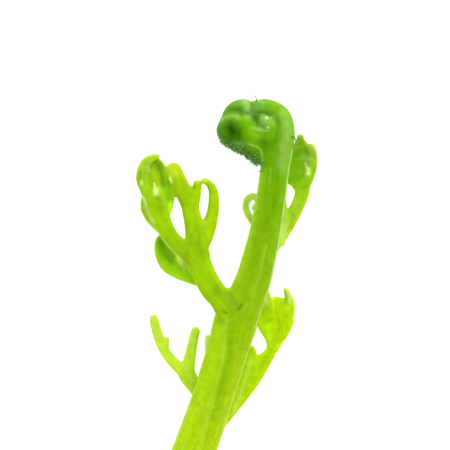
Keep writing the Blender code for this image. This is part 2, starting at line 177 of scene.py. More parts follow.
def mark(route, reach, green, strength=0.6, lift=0.0, above=0.0):
    """A line or a spot on the frond's upper side, no lower than the height above.

    Its colour and its lift, in millimetres, fade as exp(-(distance / reach) squared). The distance
    is seen from above, or is the true one where the route has heights too.
    """
    return {
        "route": np.array(route, float),
        "reach": reach,
        "green": linear(green),
        "strength": strength,
        "lift": lift,
        "above": above,
    }


stalk = Limb(
    [
        (-6.45, -25.0, 2.3, 4.95, 4.8),
        (-5.15, -21.5, 2.52, 4.95, 4.8),
        (-3.72, -18.0, 2.85, 5.2, 4.7),
        (-2.6, -14.9, 3.15, 5.1, 4.6),
        (-1.54, -11.8, 3.5, 4.98, 4.5),
        (-0.45, -8.4, 3.85, 5.0, 4.4),
        (0.45, -5.4, 4.15, 5.0, 4.2),
        (1.2, -2.7, 4.4, 5.3, 4.1),
        (2.4, 0.0, 4.65, 4.6, 3.9),
        (3.3, 2.3, 4.85, 4.3, 3.7),
        (4.05, 5.0, 5.05, 4.05, 3.6),
        (4.7, 7.8, 5.2, 3.8, 3.5),
        (5.2, 10.6, 5.35, 3.62, 3.4),
        (5.62, 13.3, 5.45, 3.54, 3.35),
        (5.95, 15.9, 5.5, 3.45, 3.3),
        (6.4, 18.2, 5.6, 3.45, 3.2),
        (6.68, 20.2, 5.6, 3.3, 3.1),
        (6.3, 21.85, 5.6, 3.1, 3.0),
        (5.0, 22.75, 5.6, 2.7, 2.9),
        (3.3, 22.7, 5.6, 2.3, 2.8),
        (1.65, 22.4, 5.6, 2.3, 2.7),
        (0.5, 21.45, 5.6, 2.2, 2.6),
        (0.3, 20.2, 5.6, 2.3, 2.5),
        (1.15, 19.1, 5.6, 2.0, 2.4),
        (2.4, 18.6, 5.6, 1.8, 2.4),
        (3.9, 18.8, 5.6, 1.8, 2.6),
    ],
    STALK_GREENS + COIL_GREENS,
    ribs=STALK_RIBS,
    rib_depth=RIB_DEPTH,
    sides=STALK_SIDES,
)
inner_coil = Limb(
    [
        (2.5, 18.5, 5.6, 1.9, 2.8),
        (3.9, 18.8, 5.6, 2.0, 3.2),
        (4.7, 19.9, 5.6, 2.0, 3.2),
        (4.1, 21.0, 5.6, 1.9, 3.2),
        (3.0, 20.8, 5.6, 1.9, 3.2),
        (2.3, 19.9, 5.6, 1.9, 3.0),
    ],
    COIL_GREENS[-1:] * 2,
)
margin_line = stalk.flank_line(MARGIN_LINE_ANGLE)
left_ridge = [(0.15, -2.0), (-0.25, -7.2), (-1.3, -10.7), (-2.15, -14.2), (-3.6, -19.5), (-4.8, -24.0)]
left_face = [(-1.0, -3.5), (-1.5, -7.5), (-2.9, -11.5), (-4.5, -16.5), (-6.1, -22.0)]
neck_face = [(4.2, 15.0), (3.7, 11.5), (3.0, 8.0), (2.3, 5.0), (1.5, 2.4)]
stalk_marks = [
    # A raised ridge on the stalk's left, with a painted highlight along it.
    mark(left_ridge, 0.3, RIDGE_HIGHLIGHT_GREEN, 0.4, 0.08, 3.2),
    # Painted light: the stalk's left face, the neck's face and the lower end are painted lighter, as where
    # light glows through them.
    mark(left_face, 0.85, LIT_LEFT_FACE_GREEN, 0.5, 0.0, 1.5),
    mark(neck_face, 0.5, LIT_LEFT_FACE_GREEN, 0.45, 0.0, 3.0),
    mark([(-2.0, -19.5), (-3.6, -24.0)], 1.0, LIT_LEFT_FACE_GREEN, 0.5, 0.0, 1.5),
    # Painted light: a pale glowing line along the stalk's right margin, as where light shines through its
    # thin edge.
    mark(margin_line[MARGIN_LINE_SAMPLES], 0.13, MARGIN_LINE_GLOW_GREEN, 0.5, 0.05),
    mark(margin_line[NECK_SAMPLES], 0.15, MARGIN_LINE_GLOW_GREEN, 0.6, 0.03),
    # Painted highlight: a pale line on the neck's ridge.
    mark([(5.45, 15.8), (5.25, 13.4)], 0.12, RIDGE_HIGHLIGHT_GREEN, 0.25, 0.03, 5.0),
    mark([(6.5, 17.5), (6.2, 14.5), (5.6, 10.5)], 0.16, "#5A9A06", 0.4, -0.03, 5.0),
    mark([(4.9, 6.5), (3.9, 2.5), (3.0, -0.6)], 0.2, "#B0D84C", 0.3, 0.04, 5.0),
    # Painted shade: the face right of the ridge is painted darker.
    mark([(0.85, -2.2), (0.45, -7.3), (-0.6, -10.8), (-1.4, -14.3)], 0.45, "#7FB600", 0.55, -0.04, 3.5),
    # Painted shade in the creases where the leaflet stalks meet the stalk.
    mark([(1.55, -1.15), (2.0, -0.6)], 0.16, CREASE_SHADE_GREEN, 0.55, -0.06, 5.0),
    mark([(-0.2, -1.35), (0.15, -1.6)], 0.16, CREASE_SHADE_GREEN, 0.55, -0.05, 5.0),
    mark([(0.5, -1.9), (1.1, -1.4)], 0.3, "#82B40A", 0.4, 0.0, 5.0),
]

# The rolled leaflets of the coil. The same tissue, not yet unrolled: soft lobes packed together on the
# coil's two sides. They grow out of the coil, and its underside bears them too, as a mirror image.

COIL_MIDDLE = 5.6
LUMP_END = 1.3
LUMP_ROWS = 9
MIDDLE_LOBE_GREEN = "#6CAA04"
FRONT_LOBE_GREEN = "#62A014"
TOP_LOBE_GREEN = "#6CA22A"
TOP_SHEEN_GREEN = "#A6D076"
BACK_LOBE_GREEN = "#659E34"
BEAD_GREEN = "#80B648"
TOP_FOLD_GREEN = "#9CCA58"
UNDERSIDE_SCALES_AND_SHADE_GREEN = "#4E8A24"
PIT_SHADE_GREEN = "#1A5000"


def lump(x, y, z, turn, half_long, half_wide, half_high):
    """Rows of a rounded lump that lies level, turned by degrees.

    From u = -1 at one end to 1 at the other, its sections shrink as sqrt(1 - u^2).
    """
    u = np.sin(np.linspace(-LUMP_END, LUMP_END, LUMP_ROWS))
    shrink = np.sqrt(1 - u**2)
    x = x + half_long * u * np.cos(np.radians(turn))
    y = y + half_long * u * np.sin(np.radians(turn))
    return np.column_stack([x, y, z + 0 * u, 2 * half_wide * shrink, 2 * half_high * shrink])


def lobe_pair(green, *rows):
    """The limb with these rows, and its mirror image on the coil's other side."""
    pair = []
    for way in (1, -1):
        facing = np.array(rows)
        facing[:, 2] = COIL_MIDDLE + way * (facing[:, 2] - COIL_MIDDLE)
        pair.append(Limb(facing, (green, green)))
    return pair


coil_lobes = {
    "middle_lobe": lobe_pair(
        MIDDLE_LOBE_GREEN,
        (5.5, 14.6, 5.8, 1.8, 1.7),
        (5.4, 16.3, 6.0, 2.3, 2.1),
        (4.9, 17.8, 6.3, 2.7, 2.4),
        (4.0, 18.9, 6.6, 2.9, 2.5),
        (3.1, 19.8, 6.7, 3.0, 2.5),
        (2.5, 20.7, 6.75, 2.8, 2.4),
        (2.3, 21.5, 6.7, 2.5, 2.2),
        (2.3, 22.2, 6.6, 2.0, 2.0),
    ),
    "front_lobe": lobe_pair(FRONT_LOBE_GREEN, *lump(0.62, 20.38, 6.35, 65, 1.75, 1.67, 1.85)),
    "top_lobe": lobe_pair(
        TOP_LOBE_GREEN,
        (0.2, 21.7, 6.4, 1.6, 1.8),
        (0.85, 22.55, 6.6, 1.9, 2.0),
        (1.65, 23.05, 6.7, 1.95, 2.1),
        (2.5, 23.1, 6.7, 1.9, 2.1),
        (3.2, 22.7, 6.6, 1.4, 1.7),
    ),
    "top_fold": lobe_pair(
        TOP_FOLD_GREEN,
        (-0.4, 21.2, 6.9, 0.6, 0.8),
        (0.3, 21.65, 7.3, 0.75, 0.9),
        (1.2, 21.75, 7.35, 0.75, 0.9),
        (1.9, 21.5, 7.3, 0.6, 0.8),
    ),
    "back_lobe": lobe_pair(BACK_LOBE_GREEN, *lump(3.85, 22.7, 6.7, 85, 1.3, 0.95, 1.5)),
    "bead": lobe_pair(BEAD_GREEN, *lump(4.75, 21.4, 7.05, 0, 0.95, 0.9, 1.1)),
    "bead_base": lobe_pair(MIDDLE_LOBE_GREEN, *lump(5.1, 19.9, 6.45, 75, 1.9, 1.3, 1.6)),
    "bead_rim": lobe_pair(
        BEAD_GREEN,
        (2.9, 20.75, 7.4, 0.5, 0.7),
        (3.7, 20.3, 7.5, 0.6, 0.8),
        (4.5, 20.15, 7.5, 0.6, 0.8),
        (5.5, 20.4, 7.2, 0.5, 0.7),
    ),
}
# Its dark green is partly the scales' own tone and partly painted shade, as it lies in the shadow of the
# coil's fold.
underside = Limb(
    [
        (-0.35, 19.8, 5.6, 1.0, 1.8),
        (0.0, 19.38, 5.6, 1.3, 2.3),
        (0.6, 18.98, 5.6, 1.45, 2.8),
        (1.5, 18.5, 5.6, 1.5, 3.1),
        (2.55, 18.07, 5.6, 1.5, 3.2),
        (3.5, 17.4, 5.6, 1.65, 3.0),
        (4.5, 16.6, 5.6, 1.7, 2.6),
    ],
    (UNDERSIDE_SCALES_AND_SHADE_GREEN, UNDERSIDE_SCALES_AND_SHADE_GREEN),
)
rolled_leaflets = sum(coil_lobes.values(), [underside])

scaly_edge = [(2.9, 18.64), (3.7, 18.35), (4.2, 17.95), (4.42, 17.4), (4.42, 16.6)]
coil_marks = [
    # Painted shade: the pit at the front lobe's middle and the darkness round it.
    mark([(0.5, 20.6), (0.8, 19.8)], 1.3, "#427E06", 0.7, 0.0, 5.6),
    mark([(0.65, 20.45), (0.95, 19.9)], 0.78, PIT_SHADE_GREEN, 0.97, -0.52, 6.0),
    # Painted shade: a dark line in the crease under the top lobe.
    mark([(0.5, 22.75), (1.7, 22.65)], 0.32, "#4C8C1A", 0.65, -0.14, 6.0),
    # Painted sheen: a pale patch on the top lobe, as where it reflects the light.
    mark([(2.5, 23.5), (2.75, 22.2)], 0.5, TOP_SHEEN_GREEN, 0.75, 0.1, 6.0),
    # Painted shade in the crease between the top lobe and the back lobe.
    mark([(3.2, 23.6), (3.2, 22.5)], 0.18, "#4E8C2A", 0.35, -0.06, 6.0),
    # Painted shade: a dark crescent in the hollow above the bead, under the overhang.
    mark([(4.0, 22.3), (4.7, 22.45), (5.4, 22.1)], 0.22, CREASE_SHADE_GREEN, 0.65, -0.16, 6.0),
    # Painted shade in the groove on the bead's left side.
    mark([(3.95, 20.9), (3.8, 21.8)], 0.25, "#4E8A30", 0.4, -0.06, 6.0),
    mark([(3.0, 20.65), (3.9, 20.28), (5.2, 20.2)], 0.09, "#B4DC6C", 0.45, 0.02, 6.0),
    # Painted shade in the crease under the bead's rim.
    mark([(3.6, 19.95), (5.2, 19.8)], 0.2, "#5A9A14", 0.3, -0.04, 6.0),
    mark(scaly_edge, 0.1, "#ACDC60", 0.7, 0.05, 5.6),
    mark([(0.4, 18.7), (1.6, 18.8), (2.9, 18.64)], 0.2, "#84B050", 0.45, 0.0, 5.6),
    mark([(2.4, 21.3), (2.7, 20.6), (3.5, 19.7)], 0.55, "#7EBE0A", 0.6, 0.0, 6.0),
    # Painted shade where the middle lobe runs into the neck.
    mark([(4.5, 18.8), (5.0, 18.1)], 0.5, "#478408", 0.65, -0.08, 6.0),
    # Painted shade: a dark line in the crease beside the flank.
    mark([(6.15, 22.7), (6.3, 20.9), (5.95, 19.2), (5.6, 17.8)], 0.22, "#579A0C", 0.45, -0.04, 6.0),
    # Painted sheen: a broad pale band down the coil's right flank.
    mark([(6.9, 22.5), (7.45, 20.5), (7.1, 18.4), (6.8, 16.0)], 0.62, FLANK_SHEEN_GREEN, 0.75, 0.03, 5.5),
    mark([(5.5, 23.4), (6.4, 22.9)], 0.45, "#7CAC0A", 0.6, 0.0, 5.5),
    mark([(7.05, 23.2)], 0.25, "#8C9A3C", 0.5, 0.0, 5.0),
    mark([(-0.4, 20.9), (0.1, 21.3)], 0.3, "#5C8C1E", 0.4, 0.0, 5.5),
    mark([(-0.95, 20.9), (-0.4, 22.2), (0.3, 23.4), (1.2, 24.0)], 0.3, "#4A8420", 0.5, 0.0, 3.0),
    mark([(-1.0, 20.3), (-0.7, 19.4), (0.0, 18.7)], 0.4, "#3E7414", 0.6, 0.0, 3.0),
    # Painted highlights: two small glints on the bead.
    mark([(4.95, 21.75)], 0.13, "#F0FCD0", 0.95, 0.03, 6.0),
    mark([(5.1, 20.6)], 0.11, "#E0F8B0", 0.8, 0.0, 6.0),
    mark([(4.6, 21.3)], 0.3, "#8CBC54", 0.5, 0.0, 6.0),
]

# The left leaflet group. Thin flat lobes of the same tissue, thickened at their middle, forked twice and
# curling in at their tips. It grows from the stalk's left flank, and its base runs down along the stalk.

LEFT_GREENS = ("#84AE0A", "#A0CC06", "#9AC606")
LEFT_TIP_GREENS = ("#A4CE06", "#ACD00C")
TONGUE_GREENS = ("#99C406", "#A2C80C", "#B2CC1C")
OUTER_FOLD_GREENS = ("#92C408", "#84BA0A", "#98C41A")
HANGING_GREENS = ("#AEDE20", "#A2DA0E", "#92CE0A")
HOOK_GREENS = ("#9AC80C", "#A2CE20", "#B4D83A")
BACK_GREENS = ("#B0DA20", "#C0E444")
LEAFLET_FLATNESS = 0.72
LEAFLET_GROOVE = 0.16


def leaflet(greens, *rows, cup=0.0):
    """A flat limb, squarer than an ellipse in section, with a shallow groove along its upper face."""
    return Limb(rows, greens, cup, LEAFLET_GROOVE, flatness=LEAFLET_FLATNESS)


left_leaflets = {
    "left_stalk": leaflet(
        LEFT_GREENS,
        (1.3, -6.0, 4.3, 2.2, 2.6),
        (0.75, -3.6, 4.8, 2.8, 2.6),
        (0.3, -1.5, 5.2, 2.85, 2.4),
        (-0.57, 0.1, 5.5, 2.7, 2.1),
        (-1.47, 1.25, 5.75, 2.85, 1.8),
        (-2.5, 3.1, 5.95, 2.8, 1.6),
        (-3.2, 4.7, 6.0, 3.0, 1.45),
        (-3.45, 7.2, 6.0, 3.1, 1.2),
    ),
    "left_crotch": leaflet(
        LEFT_GREENS[:2],
        (-1.3, 0.6, 5.6, 1.2, 1.4),
        (0.2, 0.75, 5.4, 1.35, 1.5),
        (1.7, 0.9, 5.2, 1.2, 1.6),
    ),
    "left_outer": leaflet(
        LEFT_GREENS,
        (-2.8, 3.9, 6.0, 2.2, 1.2),
        (-5.1, 6.0, 6.05, 2.15, 1.1),
        (-6.75, 7.95, 6.1, 2.0, 1.1),
        (-7.55, 9.7, 6.1, 2.1, 1.0),
        (-8.0, 11.4, 6.1, 2.4, 0.95),
        (-8.75, 13.2, 6.15, 1.9, 0.85),
        (-9.2, 14.9, 6.3, 1.5, 0.8),
        (-9.3, 16.2, 6.5, 1.0, 0.75),
        cup=-0.06,
    ),
    "left_outer_hook": leaflet(
        HOOK_GREENS,
        (-8.85, 11.4, 6.1, 1.1, 0.9),
        (-9.45, 13.0, 6.35, 1.3, 0.9),
        (-9.95, 14.6, 6.6, 1.4, 0.85),
        (-9.8, 15.7, 6.9, 1.3, 0.8),
        (-9.25, 16.6, 7.15, 1.2, 0.75),
        (-8.45, 17.1, 7.25, 0.9, 0.7),
        (-7.65, 17.2, 7.25, 0.62, 0.62),
        cup=-0.2,
    ),
    "left_outer_fold": leaflet(
        OUTER_FOLD_GREENS,
        (-7.45, 9.4, 6.0, 1.0, 0.9),
        (-7.1, 10.7, 6.0, 1.45, 0.9),
        (-6.9, 12.1, 5.85, 1.7, 0.9),
        (-6.95, 13.5, 5.8, 1.9, 0.9),
        (-7.5, 14.9, 5.9, 1.9, 0.85),
        (-8.2, 16.2, 6.2, 1.7, 0.75),
        (-8.7, 17.0, 6.6, 1.3, 0.7),
        cup=0.16,
    ),
    "left_outer_back": leaflet(
        BACK_GREENS,
        (-7.0, 7.7, 5.7, 0.9, 0.8),
        (-8.3, 9.0, 5.1, 1.1, 0.65),
        (-9.15, 10.0, 4.7, 1.1, 0.62),
        (-9.6, 11.0, 4.6, 1.1, 0.62),
        (-9.65, 12.0, 4.8, 0.95, 0.62),
        (-9.5, 13.0, 5.3, 0.7, 0.62),
    ),
    "left_middle": leaflet(
        LEFT_GREENS,
        (-3.0, 5.0, 6.0, 2.6, 1.3),
        (-3.45, 7.2, 6.1, 2.5, 1.2),
        (-3.8, 9.4, 6.15, 2.2, 1.1),
        (-4.2, 11.4, 6.15, 2.1, 1.0),
        (-4.32, 13.75, 6.15, 2.0, 0.9),
        cup=-0.06,
    ),
    "left_middle_tongue": leaflet(
        TONGUE_GREENS,
        (-4.4, 11.6, 6.15, 1.9, 1.0),
        (-5.0, 13.0, 6.25, 2.0, 0.95),
        (-5.55, 14.2, 6.3, 2.05, 0.9),
        (-6.05, 15.4, 6.2, 1.95, 0.85),
        (-6.45, 16.5, 5.9, 1.5, 0.8),
        cup=-0.12,
    ),
    "left_middle_stub": leaflet(
        LEFT_TIP_GREENS,
        (-3.7, 11.2, 6.15, 1.2, 0.8),
        (-3.5, 12.6, 6.3, 1.25, 0.8),
        (-3.3, 13.7, 6.5, 1.05, 0.75),
        (-3.3, 14.45, 6.7, 1.0, 0.7),
    ),
    "left_inner_hook": leaflet(
        LEFT_TIP_GREENS,
        (-3.1, 5.8, 6.0, 1.6, 1.1),
        (-2.32, 7.6, 6.05, 1.8, 1.1),
        (-1.78, 9.2, 6.1, 1.65, 1.0),
        (-1.43, 10.8, 6.25, 1.42, 0.9),
        (-1.33, 12.2, 6.45, 1.25, 0.85),
        (-1.5, 13.3, 6.6, 1.05, 0.75),
        (-2.1, 14.1, 6.75, 0.8, 0.65),
        (-2.9, 14.45, 6.85, 0.62, 0.62),
        cup=-0.1,
    ),
    "left_hanging": leaflet(
        HANGING_GREENS,
        (-1.7, 1.9, 5.3, 1.5, 1.0),
        (-3.8, 2.75, 4.8, 1.8, 0.85),
        (-5.4, 3.6, 4.5, 2.3, 0.8),
        (-6.75, 4.6, 4.3, 2.5, 0.75),
        (-7.35, 5.9, 4.4, 2.3, 0.7),
        (-7.5, 7.0, 4.7, 1.9, 0.7),
        (-7.4, 7.9, 5.1, 1.2, 0.65),
        cup=0.22,
    ),
}
left_edge = [(-8.6, 8.9), (-7.97, 7.9), (-7.1, 6.85), (-6.1, 5.75), (-5.2, 4.7), (-4.3, 3.5)]
left_marks = [
    mark([(-8.4, 14.1), (-8.22, 13.0), (-8.2, 12.4)], 0.42, "#74A80A", 0.55, -0.1, 5.5),
    # Painted light: a pale lens where light shows through a gap between the lobes.
    mark([(-8.27, 13.2), (-8.24, 12.75)], 0.31, "#EAFF90", 1.0, 0.04, 5.5),
    mark([(-8.42, 14.0), (-8.3, 13.2)], 0.13, "#EAFF90", 0.8, 0.02, 5.5),
    mark([(-6.55, 11.5), (-6.45, 10.6)], 0.3, "#CDEE30", 0.8, 0.0, 5.2),
    # Painted highlight: a small glint on the outer hook.
    mark([(-9.2, 16.0), (-9.1, 15.4)], 0.12, "#E0F4A0", 0.6, 0.0, 5.5),
    # Painted light: a pale strip where light shows through the gap between the back lobe and the outer
    # lobe.
    mark([(-9.75, 12.2), (-9.45, 11.1), (-9.05, 10.1), (-8.6, 9.3)], 0.17, "#ECFF98", 0.8, 0.0, 3.5),
    mark([(-10.1, 11.9), (-9.9, 10.8), (-9.3, 9.6)], 0.16, "#80B414", 0.6, 0.0, 3.5),
    mark([(-8.0, 16.2), (-7.6, 14.9), (-7.4, 13.6)], 0.25, "#5FA00A", 0.5, -0.08, 5.5),
    # Painted light: a pale line along the outer lobe's lower edge.
    mark(left_edge, 0.1, "#C8EC84", 0.6, 0.0, 4.8),
    mark([(-6.0, 5.0), (-5.5, 4.4), (-5.2, 4.1)], 0.36, "#74A81E", 0.4, 0.0, 3.5),
    # Painted light: a pale slit where light shows through a gap in the hanging leaflet.
    mark([(-5.75, 5.0), (-5.3, 4.4)], 0.3, "#ECFF6C", 1.0, 0.04, 3.5),
    mark([(-5.3, 4.2), (-4.85, 3.8)], 0.13, "#E0F870", 0.9, 0.0, 3.5),
    mark([(-7.6, 6.8), (-7.1, 5.3), (-6.4, 4.6)], 0.4, "#70B004", 0.45, -0.04, 3.5),
    # Painted highlight: a small glint on the tongue's left edge.
    mark([(-6.6, 14.65), (-6.38, 14.1)], 0.13, "#F2FF9C", 1.0, 0.05, 5.5),
    # Painted shade: a dark line in the crease between the fold and the tongue.
    mark([(-7.05, 15.4), (-6.9, 14.6), (-6.6, 13.6)], 0.14, "#6E9E10", 0.4, 0.0, 5.0),
    mark([(-6.3, 16.2), (-5.9, 15.7)], 0.6, "#C4E240", 0.4, 0.0, 5.5),
    # Painted shade along the two edges of the gap between the middle and outer lobes.
    mark([(-5.5, 12.5), (-5.2, 11.6), (-4.8, 10.0), (-4.45, 8.5)], 0.14, "#6E9412", 0.5, 0.0, 5.2),
    mark([(-6.6, 9.8), (-5.9, 8.2), (-4.9, 6.9)], 0.12, "#789C12", 0.4, 0.0, 5.2),
    mark([(-3.75, 14.2), (-3.7, 13.2)], 0.12, "#5E8E0C", 0.6, -0.05, 5.5),
    mark([(-2.9, 14.35), (-2.4, 14.3)], 0.2, "#D4EC50", 0.7, 0.0, 5.5),
    mark([(-2.0, 13.9), (-1.85, 12.3), (-1.95, 10.6), (-2.3, 9.7)], 0.14, "#6A9A0C", 0.55, 0.0, 5.2),
    # Painted shade on the outer hook's left side.
    mark([(-10.1, 15.2), (-10.3, 14.2)], 0.22, "#6E9E18", 0.4, -0.04, 5.5),
    mark([(-7.9, 12.0), (-7.7, 10.9)], 0.5, "#7CB004", 0.5, 0.0, 5.2),
    # Painted highlight: a small glint between the hook and the back lobe.
    mark([(-10.0, 14.25), (-9.95, 13.9)], 0.16, "#E4F8A0", 0.75, 0.0, 5.5),
    mark([(-2.3, 3.6), (-2.9, 6.0), (-3.2, 8.6)], 0.16, "#86B80A", 0.5, -0.05, 5.5),
    mark([(-1.0, 1.3), (0.2, 0.7), (1.0, -0.3)], 0.55, "#789E12", 0.55, 0.0, 4.5),
]

# The right leaflet group. The same tissue, with narrower lobes. It grows from the stalk's right flank
# towards the table, and one lobe loops round under the stalk to the left.

RIGHT_GREENS = ("#C4E450", "#B2D62A", "#8CBE08")
RIGHT_BLADE_GREENS = ("#96CA0C", "#7AB004", "#84B808", "#A4CC2C")
CURL_GREENS = ("#8ABE08", "#9CC81E", "#B4D85A")
# Painted light: the loop is painted lighter to offset the shade it lies in under the stalk.
LOOP_LIT_GREENS = ("#B4D830", "#D4F068", "#D8F070")

right_leaflets = {
    "right_stalk": leaflet(
        RIGHT_GREENS,
        (4.3, 3.9, 4.2, 1.5, 1.4),
        (5.5, 6.0, 3.0, 1.7, 1.2),
        (6.75, 7.8, 2.3, 1.8, 1.1),
        (7.93, 9.7, 1.9, 1.75, 1.0),
        (8.83, 11.4, 1.5, 1.65, 0.9),
        (9.37, 12.9, 1.1, 1.75, 0.85),
        (9.6, 14.4, 0.7, 1.7, 0.8),
        (9.7, 15.8, 0.45, 1.5, 0.7),
    ),
    "right_outer": leaflet(
        CURL_GREENS,
        (9.7, 13.6, 1.0, 1.1, 0.8),
        (10.35, 15.0, 0.6, 1.15, 0.75),
        (10.65, 16.2, 0.5, 1.15, 0.75),
        (10.7, 17.2, 0.6, 1.1, 0.7),
        (10.6, 18.1, 0.9, 1.0, 0.7),
        (10.2, 18.9, 1.3, 0.75, 0.62),
    ),
    "right_inner": leaflet(
        RIGHT_BLADE_GREENS,
        (9.2, 12.2, 1.35, 1.4, 0.9),
        (9.32, 13.3, 1.0, 1.78, 0.85),
        (9.2, 14.1, 0.75, 2.5, 0.8),
        (9.2, 14.9, 0.6, 3.0, 0.8),
        (9.25, 15.6, 0.45, 3.1, 0.8),
        (9.25, 16.8, 0.35, 3.0, 0.75),
        (9.3, 17.8, 0.5, 2.6, 0.7),
        (9.25, 18.6, 0.9, 1.9, 0.65),
        (9.15, 19.3, 1.4, 1.1, 0.62),
        (9.1, 20.05, 1.9, 0.65, 0.62),
    ),
    "right_heel": leaflet(
        RIGHT_BLADE_GREENS[:2],
        (9.0, 14.5, 0.68, 1.3, 0.7),
        (8.2, 14.4, 0.62, 1.2, 0.62),
        (7.4, 14.5, 0.62, 1.1, 0.62),
    ),
    "right_spur": leaflet(
        RIGHT_GREENS,
        (6.6, 6.6, 2.4, 1.1, 0.8),
        (7.25, 8.6, 1.9, 1.1, 0.8),
        (7.15, 10.2, 1.7, 0.95, 0.7),
        (7.05, 11.4, 1.6, 0.85, 0.65),
        (7.1, 12.3, 1.7, 0.65, 0.62),
    ),
    "right_loop": leaflet(
        LOOP_LIT_GREENS,
        (6.2, 6.6, 2.7, 1.0, 0.9),
        (4.7, 7.9, 2.0, 1.0, 0.7),
        (3.6, 9.2, 1.6, 0.9, 0.65),
        (2.85, 10.2, 1.5, 0.85, 0.62),
        (2.5, 11.25, 1.6, 0.85, 0.62),
        (2.8, 12.15, 1.8, 0.9, 0.65),
        (3.55, 12.45, 2.1, 0.85, 0.65),
        (3.95, 11.9, 2.3, 0.7, 0.62),
        (3.65, 11.2, 2.4, 0.65, 0.62),
        (3.25, 10.75, 2.3, 0.62, 0.62),
    ),
}
right_marks = [
    mark([(8.3, 17.2), (8.5, 14.6)], 0.6, "#74B004", 0.5, 0.0),
    mark([(9.5, 17.2), (10.3, 16.8)], 0.4, "#AED45C", 0.65, 0.05),
    mark([(9.4, 16.7), (9.75, 15.6), (10.05, 14.9)], 0.25, "#7CA81C", 0.5, 0.0),
    # Painted highlight: a glint on the outer lobe's curl.
    mark([(9.75, 16.5), (10.1, 15.7)], 0.1, "#E8FAB0", 0.8, 0.04),
    mark([(10.12, 15.7), (10.1, 15.25)], 0.26, "#E2F8A0", 0.95, 0.04),
    mark([(10.0, 18.6), (10.7, 17.8), (10.9, 16.9)], 0.16, "#9CA828", 0.35, 0.0),
    mark([(9.5, 18.2), (10.2, 17.6)], 0.15, "#729E10", 0.35, 0.0),
    mark([(8.6, 18.4), (9.4, 18.6)], 0.22, "#B4D224", 0.5, 0.0),
    # Painted light: pale slits where light shows through between the stalk and the spur.
    mark([(7.1, 10.8, 2.0), (7.3, 8.8, 2.3), (7.1, 7.4, 2.7)], 0.25, "#D8EEA0", 0.5, 0.0),
    mark([(6.95, 9.0, 2.6), (6.55, 7.2, 3.1)], 0.24, "#D0ECA0", 0.5, 0.0),
    mark([(7.9, 11.0), (8.2, 10.0), (7.9, 8.7)], 0.3, "#8AB41E", 0.5, 0.0),
    # Painted light at the loop's inner rim, where light shows through its hole.
    mark([(2.95, 10.5), (2.85, 11.3), (3.2, 12.0)], 0.2, "#D8F080", 0.6, 0.0),
]

# The low left leaflet group. Three narrow prongs and a small tooth, of the same tissue. They bend down to
# the table, where the longest prong holds the stalk up.

LOW_LEFT_GREENS = ("#AECE18", "#B4D81C", "#C2E03A")
LOW_TIP_GREENS = ("#BEDE28", "#C8E450")
# Painted light: the hidden prong is painted paler to offset the stalk's shade over it.
LOW_HIDDEN_LIT_GREENS = ("#C0E450", "#E0F69A")

low_left_leaflets = {
    "low_left_stalk": leaflet(
        LOW_LEFT_GREENS,
        (-0.8, -14.4, 2.4, 1.6, 1.3),
        (-2.5, -12.2, 1.9, 1.6, 1.1),
        (-3.7, -10.6, 1.6, 1.7, 0.95),
        (-4.55, -9.2, 1.4, 2.1, 0.85),
        (-5.1, -8.2, 1.3, 2.1, 0.8),
    ),
    "low_left_outer": leaflet(
        LOW_TIP_GREENS,
        (-4.9, -8.9, 1.4, 1.5, 0.85),
        (-6.57, -7.3, 1.0, 1.3, 0.75),
        (-7.68, -5.6, 0.65, 1.25, 0.7),
        (-8.3, -3.9, 0.4, 1.2, 0.7),
        (-8.6, -2.7, 0.28, 1.1, 0.7),
        (-8.72, -1.8, 0.4, 0.9, 0.65),
    ),
    "low_left_tooth": leaflet(
        LOW_TIP_GREENS,
        (-7.3, -6.2, 0.8, 0.9, 0.65),
        (-7.15, -5.3, 0.75, 0.8, 0.62),
        (-7.1, -4.5, 0.9, 0.65, 0.62),
    ),
    "low_left_inner": leaflet(
        LOW_TIP_GREENS,
        (-4.6, -9.0, 1.4, 1.7, 0.85),
        (-4.3, -7.3, 1.2, 1.45, 0.8),
        (-4.0, -5.7, 1.1, 1.25, 0.75),
        (-3.7, -4.4, 1.15, 1.15, 0.7),
        (-3.45, -3.3, 1.35, 1.05, 0.65),
    ),
    "low_left_hidden": leaflet(
        LOW_HIDDEN_LIT_GREENS,
        (-3.1, -11.0, 1.8, 0.9, 0.8),
        (-2.2, -8.6, 1.4, 0.85, 0.7),
        (-2.05, -6.8, 1.1, 0.7, 0.65),
        (-2.12, -5.4, 1.0, 0.68, 0.62),
        (-1.9, -4.25, 1.1, 1.0, 0.62),
    ),
}

# The low right leaflet group. A broad blade with two horns and a short spur, of the same tissue. It grows
# from under the stalk, and its blade lies on the table.

LOW_RIGHT_GREENS = ("#B8DC14", "#B8DC08", "#BADE06")
LOW_BLADE_GREENS = ("#BCE106", "#C0E304", "#C8E81C")

